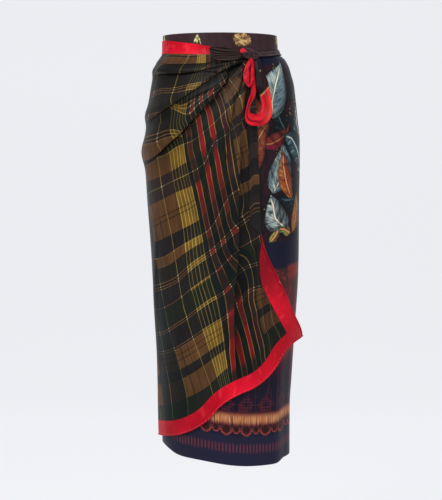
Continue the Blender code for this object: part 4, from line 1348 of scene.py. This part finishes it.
def leaf_recipe():
    """A node group that paints one leaf of the print, in loose strokes, over a ground colour."""
    tree = bpy.data.node_groups.new("painted_leaf", "ShaderNodeTree")
    for label in LEAF_NUMBERS:
        tree.interface.new_socket(label, in_out="INPUT", socket_type="NodeSocketFloat")
    for label in LEAF_INKS:
        tree.interface.new_socket(label, in_out="INPUT", socket_type="NodeSocketColor")
    tree.interface.new_socket("painted", in_out="OUTPUT", socket_type="NodeSocketColor")
    given = tree.nodes.new("NodeGroupInput")
    leaf = Recipe(tree)
    u, v, wobble, across, up, sine, cosine, length, width, curved = (
        leaf.wire(given, label) for label in LEAF_NUMBERS)
    ground, blade_ink, far_ink, rib_ink = (leaf.wire(given, label) for label in LEAF_INKS)
    across = (u - across).every(PRINT_REPEAT) + wobble * 0.012
    up = v - up + wobble * 0.010
    y = up * cosine - across * sine
    way = y / length
    bent = 1 - way * way
    x = across * cosine + up * sine - bent * curved
    off = x.size()
    half = bent.math("MAXIMUM", 0.0) * (1 - way * 0.35) * width
    on_way = way.size().below(0.98, 0.02)
    inside = (half - off).above(0.0, 0.0012) * on_way
    strokes = leaf.noise(leaf.point((y - off * 0.9) * 170, x * 60, width * 900), 1.0, 4.0)
    blade = leaf.mix(strokes.above(0.48, 0.16), far_ink, blade_ink)
    blade = leaf.mix(strokes.above(0.64, 0.05) * 0.5, blade, rib_ink)
    blade = leaf.mix((x / width).above(0.05, 0.6) * 0.75, blade, far_ink)
    blade = leaf.mix((off / (half + 0.002)).above(0.80, 0.22) * 0.8, blade, INK["night"])
    blade = leaf.mix(off.between(0.0019, 0.0034, 0.0006) * 0.7, blade, INK["night"])
    blade = leaf.mix(off.below(0.0018, 0.0011) * way.size().below(0.76, 0.16), blade, rib_ink)
    painted = leaf.mix((half - off).above(-0.004, 0.004) * 0.6, ground, INK["night"])
    painted = leaf.mix(inside, painted, blade)
    leaf.feed(tree.nodes.new("NodeGroupOutput").inputs[0], painted)
    return tree


def leaf_print(fabric, u, v, colour):
    """Generic leaves, one over another, on the ground."""
    recipe = leaf_recipe()
    wobble = fabric.noise(fabric.point(u, v), 24.0, 4.0) - 0.5
    for leaf in LEAVES:
        node = fabric.tree.nodes.new("ShaderNodeGroup")
        node.node_tree = recipe
        lean = math.radians(leaf.lean)
        numbers = (u, v, wobble, leaf.across, leaf.up, math.sin(lean), math.cos(lean), leaf.length,
                   leaf.width, leaf.curve)
        inks = (colour, INK[leaf.blade], INK[leaf.far], INK[leaf.rib])
        for label, value in zip(LEAF_NUMBERS + LEAF_INKS, numbers + inks):
            fabric.feed(node.inputs[label], value)
        colour = fabric.wire(node)
    return colour


def mottled_zone(fabric, u, v, colour, bleed):
    """Rust, moss and plum that bleed up and down the cloth, over navy."""
    cloud = fabric.noise(fabric.point(u * 1.5, v * 0.9), 15.0, 4.0)
    grain = fabric.noise(fabric.point(u, v * 0.7), 190.0, 2.0)
    high = v.above(MOTTLED_SPLIT, 0.05)
    blot = cloud * 0.55 + bleed * 0.25 + grain * 0.2
    colour = fabric.mix(high * 0.8, colour, INK["wine"])
    colour = fabric.mix(blot.above(0.48, 0.05) * high * 0.85, colour, INK["plum"])
    upper, lower = MOSSY_LEVELS
    moss = v.between(*upper, 0.010) * 0.08 + v.between(*lower, 0.02) * 0.03
    mossy = (blot * -1 + 1.0 + moss).above(0.56, 0.04)
    colour = fabric.mix(mossy * high * 0.85, colour, INK["moss"])
    upper, lower = RUSTY_LEVELS
    rust = v.between(*upper, 0.006) * 0.10 + v.between(*lower, 0.014) * 0.05
    rusty = (blot + rust).above(0.555, 0.03)
    colour = fabric.mix(rusty * (high * 0.7 + 0.1), colour, INK["rust"])
    low = v.below(MOTTLED_SPLIT, 0.03)
    colour = fabric.mix(low * 0.4, colour, INK["night"])
    drip = fabric.noise(fabric.point(u * 260, v * 14), 1.0, 2.0)
    colour = fabric.mix(drip.above(0.60, 0.05) * low * 0.55, colour, INK["plum"])
    dotted = (u.every(0.0050).size() + v.every(0.0058).size()).below(0.0022, 0.0010)
    diamond = u.every(RING_PITCH).size() * 0.9 + (v - DIAMOND_LEVEL).size()
    dots = diamond.between(0.007, 0.020, 0.002) * dotted * bleed.above(0.42, 0.2)
    return fabric.mix(dots * 0.6, colour, INK["russet"])


def ring_row(fabric, u, v, colour, streak):
    """Dark cups ringed with short strokes, wide and narrow by turns, with rust specks inside."""
    for cup in CUPS:
        x = (u - cup.across).every(RING_PITCH)
        y = v - cup.up + (streak - 0.5) * 0.0024
        far = ((x / cup.wide) * (x / cup.wide) + (y / cup.high) * (y / cup.high)).math("SQRT")
        dabs = u.every(0.0034).size() + v.every(0.0052).size() * 0.6
        strokes = dabs.below(0.0018, 0.0008) * 0.85 + 0.15
        ring = far.between(0.66, 1.02, 0.06) * (1 - y.above(0.001, 0.006) * 0.75)
        colour = fabric.mix(far.below(0.80, 0.06), colour, INK["night"])
        colour = fabric.mix(ring * strokes * (streak * 0.7 + 0.35), colour, INK["brick"])
        speck = (x.size() + y.size()).every(0.0052).size().below(0.0010, 0.0006)
        colour = fabric.mix(speck * far.below(0.60, 0.08) * 0.35, colour, INK["rust"])
    return colour


def make_print():
    """The under-skirt: leaves, a mottled zone, a streaked band, a row of rings and dashes."""
    fabric = Fabric("printed_silk")
    u, v = fabric.map("cloth")
    flat = fabric.point(u, v)
    bleed = fabric.noise(fabric.point(u * 420, v * 30), 1.0, 3.0)
    streak = fabric.noise(fabric.point(u * 700, v * 26), 1.0, 2.0)
    ragged = fabric.noise(flat, 60.0, 4.0) - 0.5
    ground = fabric.mix(fabric.noise(flat, 9.0, 3.0), INK["navy"], INK["night"])
    ground = fabric.mix(v.below(SLATE_BELOW, 0.006) * 0.24, ground, INK["slate"])
    zone = (v + ragged * 0.008).between(*MOTTLED_ZONE, 0.004)
    colour = fabric.mix(zone, ground, mottled_zone(fabric, u, v, ground, bleed))
    band = (v - BAND_LEVEL + (streak - 0.5) * 0.014).size()
    colour = fabric.mix(band.below(0.0128, 0.0050) * (streak * 0.5 + 0.45), colour, INK["rust"])
    cream = band.below(0.0080, 0.0060) * (streak.above(0.46, 0.13) * 0.82 + bleed * 0.22)
    colour = fabric.mix(cream, colour, INK["cream"])
    colour = ring_row(fabric, u, v, colour, streak)
    dash = u.every(DASH_PITCH).size().below(0.0020, 0.0014) * (streak * 0.5 + 0.45)
    row = (v - DASH_LEVEL + (bleed - 0.5) * 0.012).size().below(0.0085, 0.0030)
    colour = fabric.mix(dash * row * 0.9, colour, INK["mauve"])
    dusk = fabric.mix(fabric.noise(flat, 24.0, 3.0).above(0.48, 0.12), INK["night"], INK["wine"])
    leafy = leaf_print(fabric, u, v, dusk)
    tuft = fabric.noise(flat, 230.0, 2.0).above(0.64, 0.03)
    tuft = tuft * fabric.noise(flat, 17.0).above(0.60, 0.03)
    leafy = fabric.mix(tuft * 0.8, leafy, INK["straw"])
    edge = (v + ragged * 0.016).between(*LEAF_ZONE, 0.004)
    colour = fabric.mix(edge, colour, leafy)
    stitch = v.between(*HEM_LINE, 0.0003) * u.every(STITCH_PITCH).size().below(0.0009)
    height = fabric.weave(u, v) - stitch * 0.0002
    return fabric.finish(colour, height)


# ---------------------------------------------------------------- waistband, tie and bow

SILKS = {
    "aubergine": tone(38, 24, 28), "pale_aubergine": tone(66, 46, 48), "violet": tone(66, 26, 58),
    "bronze": tone(98, 66, 40), "gold": tone(212, 176, 118), "umber": tone(60, 38, 32),
    "leaf": tone(118, 124, 62), "pale_leaf": tone(226, 212, 158), "brown": tone(22, 15, 16),
    "pale_brown": tone(68, 50, 44), "pleat_shade_black": tone(9, 7, 8), "plum": tone(22, 15, 18),
    "pale_plum": tone(70, 46, 50), "knot_red": tone(206, 24, 44), "deep_red": tone(150, 6, 28),
    "red": tone(226, 30, 44), "painted_highlight": tone(240, 66, 48), "ink": tone(8, 12, 16),
    "pale_ink": tone(34, 24, 28), "tan": tone(196, 150, 92), "star": tone(206, 198, 140),
    "painted_fold_shade_red": tone(66, 8, 20), "edge_red": tone(96, 6, 18),
}
MOTIF_LEVEL = 0.034     # metres up from the waistband's lower edge
BAND_STITCH = (0.0024, 0.0032)
Motif = namedtuple("Motif", "across up wide high")
ROSETTES = [Motif(0.064, 0.001, 0.0310, 0.0180), Motif(-0.245, -0.006, 0.0150, 0.0120),
            Motif(0.205, -0.004, 0.0170, 0.0130)]
TUFTS = [Motif(-0.066, -0.001, 0.0125, 0.0110), Motif(-0.195, -0.004, 0.0120, 0.0100),
         Motif(0.290, 0.000, 0.0130, 0.0100)]
BLADE_LEANS = (0.42, -0.06, -0.46)
# The bow loop's dark start, and the star on it, as shares across and along the loop.
DARK_UNTIL = 0.205
STAR_ACROSS, STAR_ALONG = 0.45, 0.095
LOOP_WIDE, LOOP_LONG = 0.030, 0.34      # metres of cloth


def band_motifs(fabric, u, y, colour):
    """Generic ruffled rosettes and tufts of leaves, scattered round the waistband."""
    ruffle = fabric.noise(fabric.point(u, y), 160.0, 4.0) - 0.5
    for motif in ROSETTES:
        x = (u - motif.across) / motif.wide
        up = (y - motif.up) / motif.high
        far = (x * x + up * up).math("SQRT") + ruffle * 0.7
        turn = up.math("ARCTAN2", x)
        frill = fabric.noise(fabric.point(turn * 1.6, far * 1.1), 1.6, 4.0)
        cup = fabric.noise(fabric.point(x, up), 1.7, 3.0)
        lit = (frill * 0.6 + cup * 0.4).above(0.51, 0.09)
        gold = fabric.mix(lit, SILKS["bronze"], SILKS["gold"])
        gold = fabric.mix(cup.below(0.40, 0.05) * 0.8, gold, SILKS["umber"])
        colour = fabric.mix((far + frill * 0.5).below(1.06, 0.08), colour, gold)
    for motif in TUFTS:
        x = (u - motif.across) / motif.wide
        up = (y - motif.up) / motif.high
        for lean in BLADE_LEANS:
            way = up + ruffle * 0.3
            blade = (1 - way * way).math("MAXIMUM", 0.0) * 0.24 - (x - (1 - up) * lean).size()
            green = fabric.mix(ruffle.above(0.02, 0.1), SILKS["leaf"], SILKS["pale_leaf"])
            colour = fabric.mix(blade.above(0.02, 0.05), colour, green)
    return colour


def make_aubergine(name, motifs=False):
    """Dark aubergine silk, for the waistband with a scatter of gold flowers and pale leaves."""
    fabric = Fabric(name)
    u, v = fabric.map("cloth")
    flat = fabric.point(u, v)
    mottled = fabric.noise(flat, 40.0, 3.0)
    colour = fabric.mix(mottled, SILKS["aubergine"], SILKS["pale_aubergine"])
    bloom = fabric.noise(flat, 90.0, 2.0).above(0.6, 0.06)
    colour = fabric.mix(bloom * 0.4, colour, SILKS["violet"])
    if motifs:
        colour = band_motifs(fabric, u, v - MOTIF_LEVEL, colour)
    stitch = v.between(*BAND_STITCH, 0.0002) * u.every(STITCH_PITCH).size().below(0.0010)
    height = fabric.weave(u, v) - stitch * 0.0002
    return fabric.finish(colour, height)


def make_brown():
    """Dark brown silk, with painted shade darkening it between its pleats."""
    fabric = Fabric("gathered_silk")
    u, v = fabric.map("cloth")
    painted_pleat_shade = fabric.map("fold")[0]
    strands = fabric.noise(fabric.point(u * 18, v * 260), 1.0, 3.0)
    colour = fabric.mix(strands, SILKS["brown"], SILKS["pale_brown"])
    # Painted shade: near black in the valleys between the pleats.
    colour = fabric.mix(painted_pleat_shade.above(0.66, 0.30) * 0.85, colour, SILKS["pleat_shade_black"])
    return fabric.finish(colour, fabric.weave(u, v))


def make_knot_silk():
    """Plum silk with the scarf's red showing at the knot's upper left."""
    fabric = Fabric("knot_silk")
    around, lengthwise = fabric.map("cloth")
    strands = fabric.noise(fabric.point(around * 22, lengthwise * 6), 1.0, 3.0)
    colour = fabric.mix(strands.above(0.5, 0.22), SILKS["plum"], SILKS["pale_plum"])
    red = (lengthwise + (around - 0.2) * 0.6).below(0.34, 0.02) * around.between(0.08, 0.36, 0.02)
    colour = fabric.mix(red, colour, SILKS["knot_red"])
    return fabric.finish(colour, strands * 0.0008)


def dark_start(fabric, across, lengthwise, colour):
    """The loop's start, with the scarf's dark side and a star on it, and a painted highlight on the
    red beyond.
    """
    # Painted highlight: a brighter orange patch on the red past the dark start.
    painted_highlight = lengthwise.between(0.24, 0.42, 0.05) * across.below(0.5, 0.15)
    colour = fabric.mix(painted_highlight * 0.7, colour, SILKS["painted_highlight"])
    limit = lengthwise - across * 0.07
    ground = fabric.mix(fabric.noise(fabric.point(across, lengthwise * 6), 6.0, 3.0),
                        SILKS["ink"], SILKS["pale_ink"])
    colour = fabric.mix(limit.below(DARK_UNTIL, 0.006), colour, ground)
    seam = (limit - DARK_UNTIL).size().below(0.006, 0.003)
    colour = fabric.mix(seam * 0.5, colour, SILKS["tan"])
    x = (across - STAR_ACROSS) * LOOP_WIDE
    y = (lengthwise - STAR_ALONG) * LOOP_LONG
    star = (x.size() * y.size()).math("SQRT").below(0.0007, 0.0003)
    near = (x * x + y * y).math("SQRT").below(0.0040, 0.0006)
    return fabric.mix(star * near, colour, SILKS["star"])


def make_red(name, fold_at, fold_shade_share, starts_dark=False):
    """Red silk of the scarf's border, with painted shade along one fold."""
    fabric = Fabric(name)
    across, lengthwise = fabric.map("cloth")
    streaks = fabric.noise(fabric.point(across * 2.2, lengthwise * 5), 1.0, 2.0)
    colour = fabric.mix(streaks.above(0.5, 0.16), SILKS["deep_red"], SILKS["red"])
    if starts_dark:
        colour = dark_start(fabric, across, lengthwise, colour)
    # Painted shade: a dark band of colour along the ribbon's fold.
    fold = (across - fold_at - lengthwise * 0.10).size().below(0.11, 0.08)
    fold = fold * lengthwise.between(0.12, 0.86, 0.08)
    colour = fabric.mix(fold * fold_shade_share, colour, SILKS["painted_fold_shade_red"])
    edge = (across - 0.5).size().above(0.465, 0.012)
    colour = fabric.mix(edge * 0.45, colour, SILKS["edge_red"])
    return fabric.finish(colour, fabric.weave(across * 0.03, lengthwise * 0.3))


# ---------------------------------------------------------------- camera, light and floor

PIXEL = 0.00215         # metres of the object that one pixel of the 442 x 500 frame shows
FRAME_PIXELS = 500
CAMERA_AWAY = 3.4
CAMERA_HEIGHT = -0.30
CAMERA_ACROSS = 0.00215
FRAME_CENTRE = -0.435   # height at the middle of the frame
SENSOR = 36.0
Light = namedtuple("Light", "name place size power")
LIGHTS = [
    Light("key", (-1.3, -2.3, 1.7), 1.1, 70),
    Light("fill", (2.3, -1.8, 0.4), 1.8, 16),
    Light("top", (0.3, 0.9, 1.9), 1.4, 22),
]
SKY = 0.42
PAPER = tone(238, 239, 243)
PAPER_SHADE, PAPER_GLOW = 0.2, 0.83
PAPER_ROUGHNESS = 0.9
# The paper lies on the floor, curves up behind the skirt and ends at the top.
FLOOR, PAPER_TOP = -1.25, 5.0
PAPER_HALF_WIDTH = 6
PAPER_FRONT, PAPER_BEND = -5.0, 3.0
BEND_RADIUS, BEND_STEPS = 1.5, 16


def aim(thing, place, at):
    """Places a camera or light and turns it towards a point."""
    gap = np.array(at) - np.array(place)
    thing.location = place
    pitch = math.pi / 2 + math.atan2(gap[2], math.hypot(gap[0], gap[1]))
    thing.rotation_euler = (pitch, 0, math.atan2(-gap[0], gap[1]))
    bpy.context.collection.objects.link(thing)


def make_camera():
    """The photograph's camera: level with the thighs and far enough away to look flat."""
    data = bpy.data.cameras.new("camera")
    data.sensor_width = SENSOR
    data.lens = SENSOR * CAMERA_AWAY / (PIXEL * FRAME_PIXELS)
    camera = bpy.data.objects.new("camera", data)
    aim(camera, (CAMERA_ACROSS, -CAMERA_AWAY, CAMERA_HEIGHT), (CAMERA_ACROSS, 0, FRAME_CENTRE))
    bpy.context.scene.camera = camera


def make_light(light):
    """A square lamp turned towards the skirt's middle."""
    data = bpy.data.lights.new(light.name, "AREA")
    data.size = light.size
    data.energy = light.power
    aim(bpy.data.objects.new(light.name, data), light.place, (0, 0, FRAME_CENTRE))


def make_paper():
    """A pale floor that curves up into the backdrop."""
    bend = np.linspace(0, math.pi / 2, BEND_STEPS)
    depth = PAPER_BEND + BEND_RADIUS * np.sin(bend)
    depth = np.concatenate([[PAPER_FRONT], depth, [PAPER_BEND + BEND_RADIUS]])
    height = np.concatenate([[FLOOR], FLOOR + BEND_RADIUS * (1 - np.cos(bend)), [PAPER_TOP]])
    points = [(x, y, z) for y, z in zip(depth, height)
              for x in (-PAPER_HALF_WIDTH, PAPER_HALF_WIDTH)]
    faces = [(2 * row, 2 * row + 1, 2 * row + 3, 2 * row + 2) for row in range(len(depth) - 1)]
    mesh = bpy.data.meshes.new("paper")
    mesh.from_pydata(points, [], faces)
    mesh.polygons.foreach_set("use_smooth", [True] * len(faces))
    paper = Fabric("paper")
    paper.shader.inputs["Base Color"].default_value = (*(PAPER_SHADE * part for part in PAPER), 1)
    paper.shader.inputs["Roughness"].default_value = PAPER_ROUGHNESS
    paper.shader.inputs["Emission Color"].default_value = (*PAPER, 1)
    paper.shader.inputs["Emission Strength"].default_value = PAPER_GLOW
    mesh.materials.append(paper.material)
    floor = bpy.data.objects.new("paper", mesh)
    bpy.context.collection.objects.link(floor)


def make_studio():
    """Soft daylight from the sky and three lamps, and the paper."""
    world = bpy.data.worlds.new("studio")
    world.use_nodes = True
    sky = world.node_tree.nodes["Background"]
    sky.inputs["Color"].default_value = (*PAPER, 1)
    sky.inputs["Strength"].default_value = SKY
    bpy.context.scene.world = world
    bpy.context.scene.view_settings.view_transform = "Standard"
    for light in LIGHTS:
        make_light(light)
    make_paper()


# ---------------------------------------------------------------- the skirt

make_camera()
make_studio()
under_skirt = make_skirt(make_print())
band = make_band(make_aubergine("waist_silk", motifs=True))
scarf = make_scarf(make_plaid())
gather = make_gather(make_brown())
knot = make_knot(make_knot_silk())
tie = make_tie(make_aubergine("tie_silk"))
loop = ribbon("bow_loop_cloth", BOW_LOOP, LOOP_BOW, LOOP_FOLDS,
              make_red("loop_silk", 0.32, 0.45, starts_dark=True), "bow_loop")
tail = ribbon("bow_tail_cloth", BOW_TAIL, TAIL_BOW, TAIL_FOLDS,
              make_red("tail_silk", 0.55, 0.8), "bow_tail")
